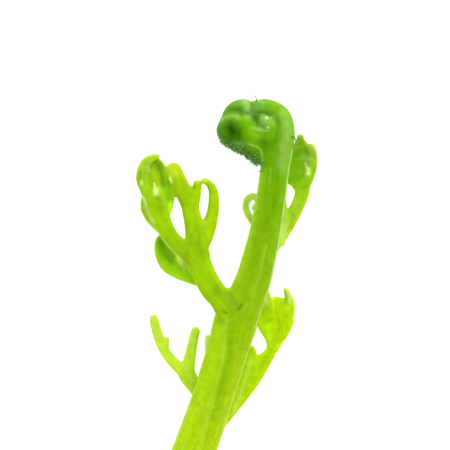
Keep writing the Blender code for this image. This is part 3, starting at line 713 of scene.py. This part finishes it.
low_right_leaflets = {
    "low_right_stalk": leaflet(
        LOW_RIGHT_GREENS,
        (-1.6, -16.0, 2.5, 1.8, 1.6),
        (-0.1, -14.0, 2.0, 2.0, 1.4),
        (1.35, -12.0, 1.65, 2.3, 1.2),
        (2.8, -10.0, 1.35, 2.45, 1.05),
        (4.3, -7.9, 1.1, 2.15, 0.95),
        (5.63, -6.25, 0.85, 1.3, 0.85),
        (6.05, -4.9, 0.7, 1.3, 0.8),
    ),
    "low_right_blade": leaflet(
        LOW_BLADE_GREENS,
        (5.7, -6.3, 0.9, 1.3, 0.85),
        (5.97, -5.2, 0.65, 2.1, 0.8),
        (6.07, -4.2, 0.45, 3.45, 0.75),
        (6.08, -3.2, 0.35, 4.4, 0.75),
        (6.1, -2.1, 0.35, 4.7, 0.75),
        (6.2, -1.1, 0.45, 4.7, 0.7),
        (6.3, -0.2, 0.55, 4.3, 0.65),
        (6.35, 0.4, 0.65, 3.0, 0.65),
        cup=0.08,
    ),
    "low_right_spur": leaflet(
        LOW_RIGHT_GREENS,
        (3.2, -9.4, 1.4, 1.9, 0.9),
        (3.15, -7.9, 1.2, 1.9, 0.8),
        (3.08, -6.75, 1.1, 1.65, 0.7),
        (2.88, -5.5, 1.1, 1.15, 0.65),
    ),
    "low_right_horn": leaflet(
        LOW_BLADE_GREENS,
        (5.4, -2.6, 0.5, 1.5, 0.7),
        (5.2, -0.9, 0.8, 1.5, 0.65),
        (5.0, 0.4, 1.3, 1.1, 0.62),
        (4.9, 1.3, 1.8, 0.75, 0.62),
    ),
    "low_right_spike": leaflet(
        LOW_BLADE_GREENS,
        (7.4, -2.4, 0.4, 0.8, 0.7),
        (7.8, -1.5, 0.45, 1.1, 0.7),
        (7.95, -0.6, 0.6, 1.15, 0.65),
        (7.7, 0.3, 0.9, 0.95, 0.62),
        (7.45, 1.0, 1.3, 0.7, 0.62),
        (7.3, 1.45, 1.6, 0.62, 0.62),
    ),
}
low_marks = [
    mark([(3.3, -7.0), (2.2, -10.5), (0.9, -14.0)], 0.16, "#CCE88C", 0.3),
    mark([(6.0, -1.2), (6.6, -3.4), (5.8, -5.8), (4.3, -8.2)], 0.3, "#9CCA00", 0.5),
    mark([(5.1, 0.8, 1.8), (5.1, -0.6, 1.3)], 0.25, "#D6F0A0", 0.5),
    mark([(7.9, -0.3), (7.6, 1.6)], 0.3, "#D8F090", 0.6),
]

# The frond's skin. All the limbs grown together: one closed surface with soft webs where they fork. The
# real one is a thin clear skin over pale green, water-filled cells, so light goes in and comes out again.

MM = 0.001
DRAWING_MIDDLE = (0.2127, -0.8098, 0.0)
SKIN_CELL = 0.148
HALF_WAY = [0.5]
SMOOTHING_SHARES = [0.5, -0.52]
SMOOTHING_ROUNDS = 14

# Webs fill in outwards. Rims draw inwards by a small share only, so that thin leaflets stay full.
WEB_ROUNDS = 12
WEB_SHARE = 0.8
RIM_SHARE = 0.15

# The coil's rolled leaflets are softer. They lie to the left of and beyond this place, past a soft edge.
ROLLED_FROM = (8.0, 16.5)
ROLLED_EDGE = 2.0
ROLLED_ROUNDS = 20
ROLLED_SOFTNESS = 0.75

POINTS_AT_ONCE = 4000
SAMPLED = ("centres", "sideways", "outward", "ahead", "half_width", "half_thickness", "along", "green")
ALONG_WEIGHT = 0.5
CLEAR_GAP = 0.5
THICKEST_RIM = 1.4
LEAST_RIM = 0.1
RIM_POWER = 4
PAST_RIM = 1.2
GREEN_ROUNDS = 16
MARGIN_ROUNDS = 2
CLEAR_ROUNDS = 4
FACING_FROM = -0.05
MARK_EDGE = 0.3
DENT_ROUNDS = 10
SHALLOW_DENT = 0.015
DENT_SPAN = 0.12

SKIN_ROUGHNESS = 0.36
SKIN_IOR = 1.36
SKIN_GLOSS = 0.06
LIGHT_SHARE = 0.7
LIGHT_REACH = 0.45
LIGHT_REACH_BY_COLOUR = (0.8, 1.0, 0.15)

# The streaks are bundles of strands. A cell is drawn about three times as wide as a real one, because the
# real ones would be too fine to see. The glints are painted highlights: groups of bright spots round the
# glint places.
STREAK_WIDTH = 0.28
STREAK_LENGTH = 4.0
STREAK_SHADES = (0.945, 1.055)
MOTTLE_SIZE = 0.9
MOTTLE_SHADES = (0.9, 1.1)
NOISE_SPAN = (0.3, 0.7)
CELL_SIZE = 0.22
GLINT_SIZE = 0.2
GLINT_STRENGTH = 0.7
GLINT_SPAN = (0.6, 0.72)
GLINT_PLACES = [
    ((-1.9, -13.6), 1.1),
    ((-1.4, -12.4), 0.6),
    ((1.7, -5.4), 0.6),
    ((4.9, 21.6), 0.5),
]
# Painted light in the colour: thin margins take a pale green glow, dents a dark shade, and the glint places
# pale glints.
MARGIN_GLOW_GREEN = "#C0E024"
MARGIN_GLOW_STRENGTH = 0.35
DENT_SHADE_GREEN = "#2E6404"
DENT_SHADE_STRENGTH = 0.6
STRAND_BUMP = (0.5, 0.04)
CELL_BUMP = (0.4, 0.03)
GLINT_GREEN = "#D8F088"


def add_object(name, points, faces):
    """A mesh object at the origin."""
    mesh = bpy.data.meshes.new(name)
    mesh.from_pydata(points, [], faces)
    made = bpy.data.objects.new(name, mesh)
    bpy.context.scene.collection.objects.link(made)
    return made


def joined(limbs):
    """One mesh object, in millimetres, that holds the closed tubes of all the limbs."""
    points, faces, count = [], [], 0
    for limb in limbs:
        own, quads, fans = limb.surface()
        points.append(own)
        faces += (quads + count).tolist() + (fans + count).tolist()
        count += len(own)
    return add_object("limbs", np.vstack(points).tolist(), faces)


def one_surface(gathered, cell):
    """Points and faces of the outer surface of overlapping tubes, redrawn as even quads one cell wide."""
    redraw = gathered.modifiers.new("redraw", "REMESH")
    redraw.mode = "VOXEL"
    redraw.voxel_size = cell
    drawn = gathered.evaluated_get(bpy.context.evaluated_depsgraph_get()).to_mesh()
    points = np.empty(len(drawn.vertices) * 3, np.float32)
    drawn.vertices.foreach_get("co", points)
    corners = np.empty(len(drawn.loops), np.int32)
    drawn.loops.foreach_get("vertex_index", corners)
    bpy.data.objects.remove(gathered)
    return points.reshape(-1, 3).astype(float), corners.reshape(-1, 4)


def edges_of(quads):
    """Each edge of the quads once, as a pair of point numbers."""
    sides = np.concatenate([quads[:, [side, (side + 1) % 4]] for side in range(4)])
    return np.unique(np.sort(sides, axis=1), axis=0)


def relaxed(values, edges, rounds, shares=HALF_WAY):
    """Values evened out over the surface.

    In each round, and for each share in turn, every value moves that share of the way to the mean of
    its neighbours.
    """
    ends = np.concatenate([edges, edges[:, ::-1]])
    friends = np.bincount(ends[:, 0], minlength=len(values))[:, None]
    for share in shares * rounds:
        sums = [np.bincount(ends[:, 0], column[ends[:, 1]], len(values)) for column in values.T]
        values = values + share * (np.stack(sums, 1) / friends - values)
    return values


def point_normals(points, quads):
    """The mean direction of the faces round each point, each the cross product of its diagonals."""
    corners = points[quads]
    across = np.cross(corners[:, 2] - corners[:, 0], corners[:, 3] - corners[:, 1])
    total = [np.bincount(quads.ravel(), np.repeat(column, 4), len(points)) for column in across.T]
    return unit(np.stack(total, 1))


def place_on_limbs(points, limbs):
    """Each point's green, its place on its limb, how clearly it is that limb's, and how near its margin.

    A point's distance from a route's sample is counted in the section's half width sideways and half
    thickness outwards. The place holds the distances sideways, outwards and along, in millimetres.
    The margin is the distance sideways over the half width, to RIM_POWER, less on a thick limb.
    """
    first = np.cumsum([0] + [len(limb.centres) for limb in limbs[:-1]])
    samples, sideways, outward, ahead, half_width, half_thickness, along, greens = (
        np.concatenate([getattr(limb, name) for limb in limbs]) for name in SAMPLED
    )
    green, place, clear, margin = [], [], [], []
    for chunk in np.array_split(points, max(len(points) // POINTS_AT_ONCE, 1)):
        side, out, on = [chunk @ axis.T - (samples * axis).sum(1) for axis in (sideways, outward, ahead)]
        counted = (side / half_width) ** 2 + (out / half_thickness) ** 2
        counted += ALONG_WEIGHT * (on / SAMPLE_STEP) ** 2
        row, near = np.arange(len(chunk)), counted.argmin(1)
        green.append(greens[near])
        place.append(np.stack([side[row, near], out[row, near], along[near] + on[row, near]], 1))
        nearest_two = np.partition(np.sqrt(np.minimum.reduceat(counted, first, axis=1)), 1, axis=1)
        clear.append(np.clip((nearest_two[:, 1] - nearest_two[:, 0]) / CLEAR_GAP, 0, 1))
        thin = np.clip(THICKEST_RIM - half_thickness[near], LEAST_RIM, 1)
        margin.append(thin * np.clip(np.abs(side[row, near] / half_width[near]), 0, PAST_RIM) ** RIM_POWER)
    return np.vstack(green), np.vstack(place), np.concatenate(clear), np.concatenate(margin)


def distance_to(route, points):
    """Each point's distance from the nearest stretch of a broken line, or from a spot.

    It is measured in x and y alone, unless the route has heights too.
    """
    starts, steps = (route[:-1], np.diff(route, axis=0)) if len(route) > 1 else (route, 0 * route + 1e-9)
    off = points[:, None, : route.shape[1]] - starts
    share = np.clip((off * steps).sum(2) / (steps**2).sum(1), 0, 1)
    return np.linalg.norm(off - share[:, :, None] * steps, axis=2).min(1)


def in_row_frame(points):
    """Millimetres in the drawing to metres in the part's own frame."""
    return (points - np.array(DRAWING_MIDDLE)) * MM


def new_piece(name, points, faces):
    """A mesh object at the origin whose points are in the part's frame, shaded smooth."""
    piece = add_object(name, in_row_frame(np.asarray(points)).tolist(), faces)
    piece.data.shade_smooth()
    return piece


def add_attribute(piece, name, kind, values):
    """One value for each point: FLOAT, FLOAT_VECTOR, or FLOAT_COLOR, whose fourth part is 1."""
    field = {"FLOAT": "value", "FLOAT_VECTOR": "vector", "FLOAT_COLOR": "color"}[kind]
    if kind == "FLOAT_COLOR":
        values = np.column_stack([values, np.ones(len(values))])
    made = piece.data.attributes.new(name, kind, "POINT")
    made.data.foreach_set(field, np.ascontiguousarray(values, np.float32).ravel())


limbs = [stalk, inner_coil, *rolled_leaflets]
for leaflets in (left_leaflets, right_leaflets, low_left_leaflets, low_right_leaflets):
    limbs += leaflets.values()
skin, quads = one_surface(joined(limbs), SKIN_CELL)
edges = edges_of(quads)
skin = relaxed(skin, edges, SMOOTHING_ROUNDS, SMOOTHING_SHARES)
green, place, clear, margin = place_on_limbs(skin, limbs)

# Where a point isn't clearly one limb's, it moves out into a web. The coil is softened all over.
normals = point_normals(skin, quads)
webbed = relaxed(skin, edges, WEB_ROUNDS)
outwards = ((webbed - skin) * normals).sum(1)[:, None]
webbed -= normals * np.minimum(outwards, 0) * (1 - RIM_SHARE)
left_of_edge = np.clip((ROLLED_FROM[0] - skin[:, 0]) / ROLLED_EDGE, 0, 1)
rolled = np.clip((skin[:, 1] - ROLLED_FROM[1]) / ROLLED_EDGE, 0, 1) * left_of_edge
skin += (webbed - skin) * ((1 - clear) * WEB_SHARE)[:, None]
skin += (relaxed(skin, edges, ROLLED_ROUNDS) - skin) * (rolled * ROLLED_SOFTNESS)[:, None]

# The marks, one after another, colour the skin and raise it or press it in.
green = relaxed(green, edges, GREEN_ROUNDS)
normals = point_normals(skin, quads)
facing = np.clip((normals[:, 2] - FACING_FROM) / MARK_EDGE, 0, 1)
lift = np.zeros(len(skin))
for each in stalk_marks + coil_marks + left_marks + right_marks + low_marks:
    share = np.exp(-((distance_to(each["route"], skin) / each["reach"]) ** 2))
    share *= facing * np.clip((skin[:, 2] - each["above"]) / MARK_EDGE + 1, 0, 1)
    green += (each["green"] - green) * (each["strength"] * share)[:, None]
    lift += each["lift"] * share
skin += normals * lift[:, None]
skin[:, 2] = np.maximum(skin[:, 2], 0.0)

# Dents lie below the evened-out surface, and the material paints them darker as shade. Painted glints lie
# round the glint places.
normals = point_normals(skin, quads)
dent = ((relaxed(skin, edges, DENT_ROUNDS) - skin) * normals).sum(1)
glint = sum(np.exp(-((distance_to(np.array([spot]), skin) / reach) ** 2)) for spot, reach in GLINT_PLACES)

skin_piece = new_piece("frond_skin", skin, quads.tolist())
add_attribute(skin_piece, "green", "FLOAT_COLOR", green)
add_attribute(skin_piece, "place", "FLOAT_VECTOR", place)
# The margin value drives the painted glow of thin margins.
add_attribute(skin_piece, "margin", "FLOAT", relaxed(margin[:, None], edges, MARGIN_ROUNDS))
add_attribute(skin_piece, "clear", "FLOAT", relaxed(clear[:, None], edges, CLEAR_ROUNDS))
add_attribute(skin_piece, "dent", "FLOAT", np.clip((dent - SHALLOW_DENT) / DENT_SPAN, 0, 1))
add_attribute(skin_piece, "glint", "FLOAT", np.clip(glint, 0, 1))


def new_material(name):
    """A material, its node tree and its shader."""
    material = bpy.data.materials.new(name)
    material.use_nodes = True
    return material, material.node_tree, material.node_tree.nodes["Principled BSDF"]


def add_node(tree, kind, properties=None, inputs=None):
    """A new node. inputs names or numbers sockets, and gives each a constant or another node's output."""
    node = tree.nodes.new(kind)
    for name, value in (properties or {}).items():
        setattr(node, name, value)
    for key, value in (inputs or {}).items():
        if isinstance(value, bpy.types.NodeSocket):
            tree.links.new(value, node.inputs[key])
        else:
            node.inputs[key].default_value = value
    return node


def on_surface(tree, name, output="Fac"):
    """What an attribute of the mesh holds at each point."""
    return add_node(tree, "ShaderNodeAttribute", {"attribute_name": name}).outputs[output]


def noise(tree, place, size, detail=2.0):
    """Soft noise whose blotches are about the given size, in millimetres."""
    inputs = {"Vector": place, "Scale": 1 / (size * MM), "Detail": detail}
    return add_node(tree, "ShaderNodeTexNoise", None, inputs).outputs["Fac"]


def cell_pattern(tree, place, size):
    """Round-cornered cells of the given size, in millimetres: the distance from each cell's middle."""
    inputs = {"Vector": place, "Scale": 1 / (size * MM)}
    return add_node(tree, "ShaderNodeTexVoronoi", {"feature": "F1"}, inputs).outputs["Distance"]


def ranged(tree, value, low, high, start=0.0, end=1.0):
    """Low where the value is start, high where it is end, and evenly between."""
    inputs = {"Value": value, "From Min": start, "From Max": end, "To Min": low, "To Max": high}
    return add_node(tree, "ShaderNodeMapRange", None, inputs).outputs[0]


def times(tree, value, factor):
    """A value times a factor, held between 0 and 1."""
    properties = {"operation": "MULTIPLY", "use_clamp": True}
    return add_node(tree, "ShaderNodeMath", properties, {0: value, 1: factor}).outputs[0]


def mixed(tree, share, under, over, blend="MIX"):
    """The colour under, with a share of the colour over laid on it or multiplied with it."""
    properties = {"data_type": "RGBA", "blend_type": blend}
    return add_node(tree, "ShaderNodeMix", properties, {0: share, 6: under, 7: over}).outputs[2]


def bump(tree, height, strength, depth, normal=None):
    """The surface's direction where a pattern raises it, by a depth in millimetres."""
    inputs = {"Height": height, "Strength": strength, "Distance": depth * MM}
    if normal is not None:
        inputs["Normal"] = normal
    return add_node(tree, "ShaderNodeBump", None, inputs).outputs[0]


def frond_tissue():
    """Fresh fern tissue, grown: a thin moist skin over cells that pass light on, so thin margins glow.

    Lengthways strands show as fine streaks, and air between the cells as pale mottling. The glow of thin
    margins is partly painted as a pale green, dents are painted darker as shade, and painted glints lie
    round the glint places.
    """
    material, tree, shader = new_material("fresh_frond_tissue")
    from_object = add_node(tree, "ShaderNodeTexCoord").outputs["Object"]
    stretch = (1 / STREAK_WIDTH, 1 / STREAK_WIDTH, 1 / STREAK_LENGTH)
    inputs = {"Vector": on_surface(tree, "place", "Vector"), "Scale": stretch}
    stretched = add_node(tree, "ShaderNodeMapping", {"vector_type": "POINT"}, inputs).outputs[0]
    inputs = {"Vector": stretched, "Scale": 1.0, "Detail": 2.0}
    streaks = add_node(tree, "ShaderNodeTexNoise", None, inputs).outputs["Fac"]
    mottle = noise(tree, from_object, MOTTLE_SIZE, 3.0)
    glint_noise = noise(tree, from_object, GLINT_SIZE, 1.0)
    cells = cell_pattern(tree, from_object, CELL_SIZE)
    streak_shade = ranged(tree, streaks, *STREAK_SHADES, *NOISE_SPAN)
    mottle_shade = ranged(tree, mottle, *MOTTLE_SHADES, *NOISE_SPAN)
    # Painted light: a pale glow on thin margins.
    rim = times(tree, on_surface(tree, "margin"), MARGIN_GLOW_STRENGTH)
    # Painted shade: dents are darkened.
    dark = times(tree, on_surface(tree, "dent"), DENT_SHADE_STRENGTH)
    # Painted highlights: pale glints round the glint places.
    glint = times(tree, ranged(tree, glint_noise, 0.0, GLINT_STRENGTH, *GLINT_SPAN), on_surface(tree, "glint"))
    clear, green = on_surface(tree, "clear"), on_surface(tree, "green", "Color")
    colour = mixed(tree, clear, green, streak_shade, "MULTIPLY")
    colour = mixed(tree, 1.0, colour, mottle_shade, "MULTIPLY")
    colour = mixed(tree, rim, colour, (*linear(MARGIN_GLOW_GREEN), 1))
    colour = mixed(tree, dark, colour, (*linear(DENT_SHADE_GREEN), 1))
    colour = mixed(tree, glint, colour, (*linear(GLINT_GREEN), 1))
    strands = bump(tree, streaks, *STRAND_BUMP)
    tree.links.new(colour, shader.inputs["Base Color"])
    tree.links.new(bump(tree, cells, *CELL_BUMP, strands), shader.inputs["Normal"])
    shader.inputs["Roughness"].default_value = SKIN_ROUGHNESS
    shader.inputs["IOR"].default_value = SKIN_IOR
    shader.inputs["Specular IOR Level"].default_value = SKIN_GLOSS
    shader.inputs["Subsurface Weight"].default_value = LIGHT_SHARE
    shader.inputs["Subsurface Radius"].default_value = LIGHT_REACH_BY_COLOUR
    shader.inputs["Subsurface Scale"].default_value = LIGHT_REACH * MM
    return material


skin_piece.data.materials.append(frond_tissue())
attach(skin_piece, "root")
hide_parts("frond")

# The scales and hairs of the coil. Thin dry green scales cover its underside, and three loose hairs
# stand on its skin. They grow out of the skin, and are far thinner than the solid can hold.

SCALE_COUNT = 600
SCALE_LENGTH = 0.5
SCALE_WIDTH = 0.13
SCALE_THICKNESS = 0.05
SCALE_BOW = 0.2
SCALE_RINGS = 6
TAPER_START = 0.15
LEAST_TAPER = 0.06
LEAST_FLAT_TAPER = 0.1
ROOT_DEPTH = 0.08
SCALE_SEED = 5
SCALE_TURNS = (-75, 95)
LEAN_ALONG = (-0.9, 0.5)
LEAN_OUTWARDS = (0.05, 0.3)
LEAN_SPREAD = 0.25
SCALE_LENGTH_SHARES = (0.5, 1.0)
SCALE_WIDTH_SHARES = (0.6, 1.2)
SCALE_GREENS = ("#569232", "#6A9E44", "#96BE78")
SCALE_GREEN_ODDS = (0.5, 0.33, 0.17)
SCALE_GRAIN = 0.3
SCALE_SHADES = (0.7, 1.3)
HAIR_SIDES = 6
HAIR_STEP = 0.1
HAIR_ROOT_RADIUS = 0.08
HAIR_TIP_RADIUS = 0.04
HAIR_GRAIN = 0.2
HAIR_BROWN = "#6A4A34"
HAIR_ROUTES = {
    "top_hair": [(3.78, 23.6, 7.2), (3.74, 23.95, 7.4), (3.68, 24.25, 7.4), (3.55, 24.5, 7.4)],
    "neck_hair": [
        (7.95, 19.6, 6.4),
        (8.3, 19.4, 6.7),
        (8.45, 19.0, 6.7),
        (8.3, 18.6, 6.6),
        (8.15, 18.2, 6.3),
    ],
    "speck_hair": [(4.5, 15.6, 6.4), (4.3, 15.5, 6.6), (4.1, 15.4, 6.6), (3.95, 15.45, 6.5)],
}


def blades(roots, ahead, out, lengths, widths):
    """Points and faces of many flat pointed blades at once.

    Along a blade, v goes from 0 to 1: its middle is root + length * (v * ahead + bow * v^2 * out), and
    its half width is half the width times a sine that starts a little way up. A ring has four corners.
    """
    v = np.linspace(0.0, 1.0, SCALE_RINGS)
    taper = np.sin(np.pi * (TAPER_START + (1 - TAPER_START) * v))
    sideways = np.cross(ahead, out)
    bowed = v[None, :, None] * ahead[:, None] + SCALE_BOW * v[None, :, None] ** 2 * out[:, None]
    middles = roots[:, None] + lengths[:, None, None] * bowed
    half = 0.5 * widths[:, None] * np.maximum(taper, LEAST_TAPER)
    flat = np.full_like(half, SCALE_THICKNESS / 2) * np.maximum(taper, LEAST_FLAT_TAPER)
    corners = [
        middles + (x * half)[:, :, None] * sideways[:, None] + (y * flat)[:, :, None] * out[:, None]
        for x, y in ((1, 0), (0, 1), (-1, 0), (0, -1))
    ]
    points = np.stack(corners, 2).reshape(-1, 3)
    last = 4 * (SCALE_RINGS - 1) + np.arange(4)
    one = np.vstack([ring_quads(SCALE_RINGS, 4), [3, 2, 1, 0], last])
    faces = (one[None] + 4 * SCALE_RINGS * np.arange(len(roots))[:, None, None]).reshape(-1, 4)
    return points, faces


draw = np.random.default_rng(SCALE_SEED)
spot = draw.integers(1, len(underside.along) - 1, SCALE_COUNT)
turn = np.radians(draw.uniform(*SCALE_TURNS, SCALE_COUNT))[:, None]
side = underside.sideways[spot] * np.cos(turn)
up = underside.outward[spot] * np.sin(turn)
wide, high = underside.half_width[spot][:, None], underside.half_thickness[spot][:, None]
away = unit(side * high + up * wide)
roots = underside.centres[spot] + side * (wide - ROOT_DEPTH) + up * (high - ROOT_DEPTH)
leaning = underside.ahead[spot] * draw.uniform(*LEAN_ALONG, (SCALE_COUNT, 1))
leaning += away * draw.uniform(*LEAN_OUTWARDS, (SCALE_COUNT, 1))
leaning = unit(leaning + draw.normal(0, LEAN_SPREAD, (SCALE_COUNT, 3)))
away = unit(away - leaning * (away * leaning).sum(1)[:, None])
lengths = SCALE_LENGTH * draw.uniform(*SCALE_LENGTH_SHARES, SCALE_COUNT)
widths = SCALE_WIDTH * draw.uniform(*SCALE_WIDTH_SHARES, SCALE_COUNT)
points, faces = blades(roots, leaning, away, lengths, widths)
scale_greens = np.stack([linear(green) for green in SCALE_GREENS])
scale_greens = scale_greens[draw.choice(len(SCALE_GREENS), SCALE_COUNT, p=SCALE_GREEN_ODDS)]
scales = new_piece("coil_scales", points, faces.tolist())
add_attribute(scales, "green", "FLOAT_COLOR", np.repeat(scale_greens, 4 * SCALE_RINGS, axis=0))


def hair(route):
    """Points and faces of a hair: a round tube that narrows evenly to its tip."""
    rows, along = even_rows([(*place, 1.0, 1.0) for place in route], HAIR_STEP)
    ahead, sideways, outward = limb_frames(rows[:, :3])
    a = 2 * np.pi * np.arange(HAIR_SIDES) / HAIR_SIDES
    radius = HAIR_ROOT_RADIUS + (HAIR_TIP_RADIUS - HAIR_ROOT_RADIUS) * along / along[-1]
    around = np.cos(a)[None, :, None] * sideways[:, None] + np.sin(a)[None, :, None] * outward[:, None]
    points = (rows[:, None, :3] + radius[:, None, None] * around).reshape(-1, 3)
    ends = [list(range(HAIR_SIDES))[::-1], list(range(len(points) - HAIR_SIDES, len(points)))]
    return points, ring_quads(len(rows), HAIR_SIDES).tolist() + ends


hair_points, hair_faces = [], []
for route in HAIR_ROUTES.values():
    points, faces = hair(route)
    hair_faces += [[corner + len(hair_points) for corner in face] for face in faces]
    hair_points += points.tolist()
hairs = new_piece("coil_hairs", hair_points, hair_faces)


def fern_scale():
    """Fern scale, grown: a papery dry film one cell thick, dull, with a light and dark grain."""
    material, tree, shader = new_material("dry_fern_scale")
    from_object = add_node(tree, "ShaderNodeTexCoord").outputs["Object"]
    grain = ranged(tree, noise(tree, from_object, SCALE_GRAIN), *SCALE_SHADES)
    colour = mixed(tree, 1.0, on_surface(tree, "green", "Color"), grain, "MULTIPLY")
    tree.links.new(colour, shader.inputs["Base Color"])
    shader.inputs["Roughness"].default_value = 0.6
    shader.inputs["Specular IOR Level"].default_value = 0.3
    return material


def fern_hair():
    """Fern hair, grown: one dry thread of cells, dull brown and greenish in places."""
    material, tree, shader = new_material("dry_fern_hair")
    from_object = add_node(tree, "ShaderNodeTexCoord").outputs["Object"]
    grain = noise(tree, from_object, HAIR_GRAIN)
    colour = mixed(tree, grain, (*linear(HAIR_BROWN), 1), (*linear(SCALE_GREENS[0]), 1))
    tree.links.new(colour, shader.inputs["Base Color"])
    shader.inputs["Roughness"].default_value = 0.7
    return material


scales.data.materials.append(fern_scale())
hairs.data.materials.append(fern_hair())
for piece in (scales, hairs):
    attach(piece, "root")

# The cut end of the stalk. Wet spongy tissue with a ring of air channels, sliced square with a blade. It
# closes the stalk's lower end.

CUT_SHARE = 0.93
CUT_PROUD = 0.1
CUT_BEVEL = 0.04
FACE_RINGS = 30
FACE_SIDES = 120
POLE_SHARE = 0.02
PLUG_BACK = [(1.0, -0.3), (0.6, -0.4), (POLE_SHARE, -0.4)]
CHANNELS = 9
CHANNEL_PLACE = 0.6
CHANNEL_SIZE = 0.12
CHANNEL_DEPTH = 0.09
CUT_CELL_SIZE = 0.25
CUT_CELL_SHADES = (0.75, 1.1)
CUT_CELL_BUMP = (0.5, 0.05)
PITH_GREEN = "#D2E69A"
CHANNEL_GREEN = "#6E9A2C"


def cut_face():
    """Points, faces and channel share of a round plug that closes the stalk.

    Its profile runs from the middle of the face out to the rim and back inside to a pole. The face
    stands proud by CUT_PROUD and sinks at each channel as exp(-(distance / channel size) squared).
    """
    back_share, back_height = np.transpose(PLUG_BACK)
    out = np.concatenate([np.linspace(POLE_SHARE, 1.0, FACE_RINGS), back_share])
    proud = np.concatenate([np.full(FACE_RINGS, CUT_PROUD), back_height])
    proud[FACE_RINGS - 1] -= CUT_BEVEL
    a = 2 * np.pi * np.arange(FACE_SIDES) / FACE_SIDES
    x, y = out[:, None] * np.cos(a), out[:, None] * np.sin(a)
    spots = 2 * np.pi * (np.arange(CHANNELS) + 0.5) / CHANNELS
    x_gap = x[..., None] - CHANNEL_PLACE * np.cos(spots)
    y_gap = y[..., None] - CHANNEL_PLACE * np.sin(spots)
    channel = np.exp(-((np.hypot(x_gap, y_gap) / CHANNEL_SIZE) ** 2)).max(2) * (proud > 0)[:, None]
    swell = 1 + stalk.rib_depth * np.cos(stalk.ribs * a)
    height = proud[:, None] - CHANNEL_DEPTH * channel
    points = (
        stalk.centres[0]
        + stalk.sideways[0] * (x * swell * stalk.half_width[0] * CUT_SHARE)[..., None]
        + stalk.outward[0] * (y * swell * stalk.half_thickness[0] * CUT_SHARE)[..., None]
        - stalk.ahead[0] * height[..., None]
    ).reshape(-1, 3)
    quads = np.roll(ring_quads(len(out), FACE_SIDES)[:, ::-1], 1, axis=1)
    poles = [list(range(FACE_SIDES)), list(range(len(points) - FACE_SIDES, len(points)))[::-1]]
    return points, quads.tolist() + poles, channel.ravel()


points, faces, channel = cut_face()
cut_end = new_piece("cut_end", points, faces)
add_attribute(cut_end, "channel", "FLOAT", channel)


def spongy_tissue():
    """Spongy fern tissue, sliced: pale and wet, with darker channels and a fine speckle of cut cells."""
    material, tree, shader = new_material("sliced_spongy_tissue")
    from_object = add_node(tree, "ShaderNodeTexCoord").outputs["Object"]
    cells = cell_pattern(tree, from_object, CUT_CELL_SIZE)
    pith, hollow = (*linear(PITH_GREEN), 1), (*linear(CHANNEL_GREEN), 1)
    colour = mixed(tree, on_surface(tree, "channel"), pith, hollow)
    colour = mixed(tree, 1.0, colour, ranged(tree, cells, *CUT_CELL_SHADES), "MULTIPLY")
    tree.links.new(colour, shader.inputs["Base Color"])
    tree.links.new(bump(tree, cells, *CUT_CELL_BUMP), shader.inputs["Normal"])
    shader.inputs["Roughness"].default_value = 0.35
    shader.inputs["IOR"].default_value = SKIN_IOR
    return material


cut_end.data.materials.append(spongy_tissue())
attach(cut_end, "root")

# The table, the lights and the camera. A light table under the frond, and soft white light from the upper
# right and from the left, so that the ground is plain white and the frond's margins glow.

TABLE_HALF = 1.5
PICTURE_WIDTH = 0.054
CAMERA_RISE = 0.35
SENSOR_WIDTH = 36
LOOK_AT = (0.0, 9.0, 5.0)
ROOM_LIGHT = 0.49


def flat_sheet(name, half, height):
    """A level square sheet round the origin, facing up."""
    corners = [(-half, -half, height), (half, -half, height), (half, half, height), (-half, half, height)]
    return add_object(name, corners, [(0, 1, 2, 3)])


def opal_acrylic():
    """Opal acrylic, cast, lit from below: plain white with no detail, and no shadow shows on it."""
    material, _, shader = new_material("lit_opal_acrylic")
    shader.inputs["Base Color"].default_value = (0.5, 0.5, 0.5, 1)
    shader.inputs["Roughness"].default_value = 0.9
    shader.inputs["Emission Color"].default_value = (1, 1, 1, 1)
    shader.inputs["Emission Strength"].default_value = 0.8
    return material


def soft_light(name, place, size, power):
    """A round soft lamp that looks at the frond. Its place and size are in metres, its power in watts."""
    lamp = bpy.data.lights.new(name, "AREA")
    lamp.shape = "DISK"
    lamp.size = size
    lamp.energy = power
    holder = bpy.data.objects.new(name, lamp)
    holder.location = place
    holder.rotation_mode = "QUATERNION"
    holder.rotation_quaternion = (-Vector(place)).to_track_quat("-Z", "Y")
    bpy.context.scene.collection.objects.link(holder)


table = flat_sheet("light_table", TABLE_HALF, 0.0)
table.data.materials.append(opal_acrylic())
soft_light("upper_right_light", place=(0.22, 0.30, 0.36), size=0.5, power=2.3)
soft_light("left_light", place=(-0.40, 0.10, 0.30), size=0.3, power=0.7)

world = bpy.context.scene.world or bpy.data.worlds.new("room")
bpy.context.scene.world = world
world.use_nodes = True
world.node_tree.nodes["Background"].inputs["Color"].default_value = (1, 1, 1, 1)
world.node_tree.nodes["Background"].inputs["Strength"].default_value = ROOM_LIGHT

lens = bpy.data.cameras.new("camera")
lens.sensor_width = SENSOR_WIDTH
lens.lens = SENSOR_WIDTH * CAMERA_RISE / PICTURE_WIDTH
lens.clip_start, lens.clip_end = 0.01, 10
camera = bpy.data.objects.new("camera", lens)
aim = in_row_frame(np.array(LOOK_AT))
camera.location = (aim[0], aim[1], aim[2] + CAMERA_RISE)
bpy.context.scene.collection.objects.link(camera)
bpy.context.scene.camera = camera
bpy.context.scene.view_settings.view_transform = "Standard"
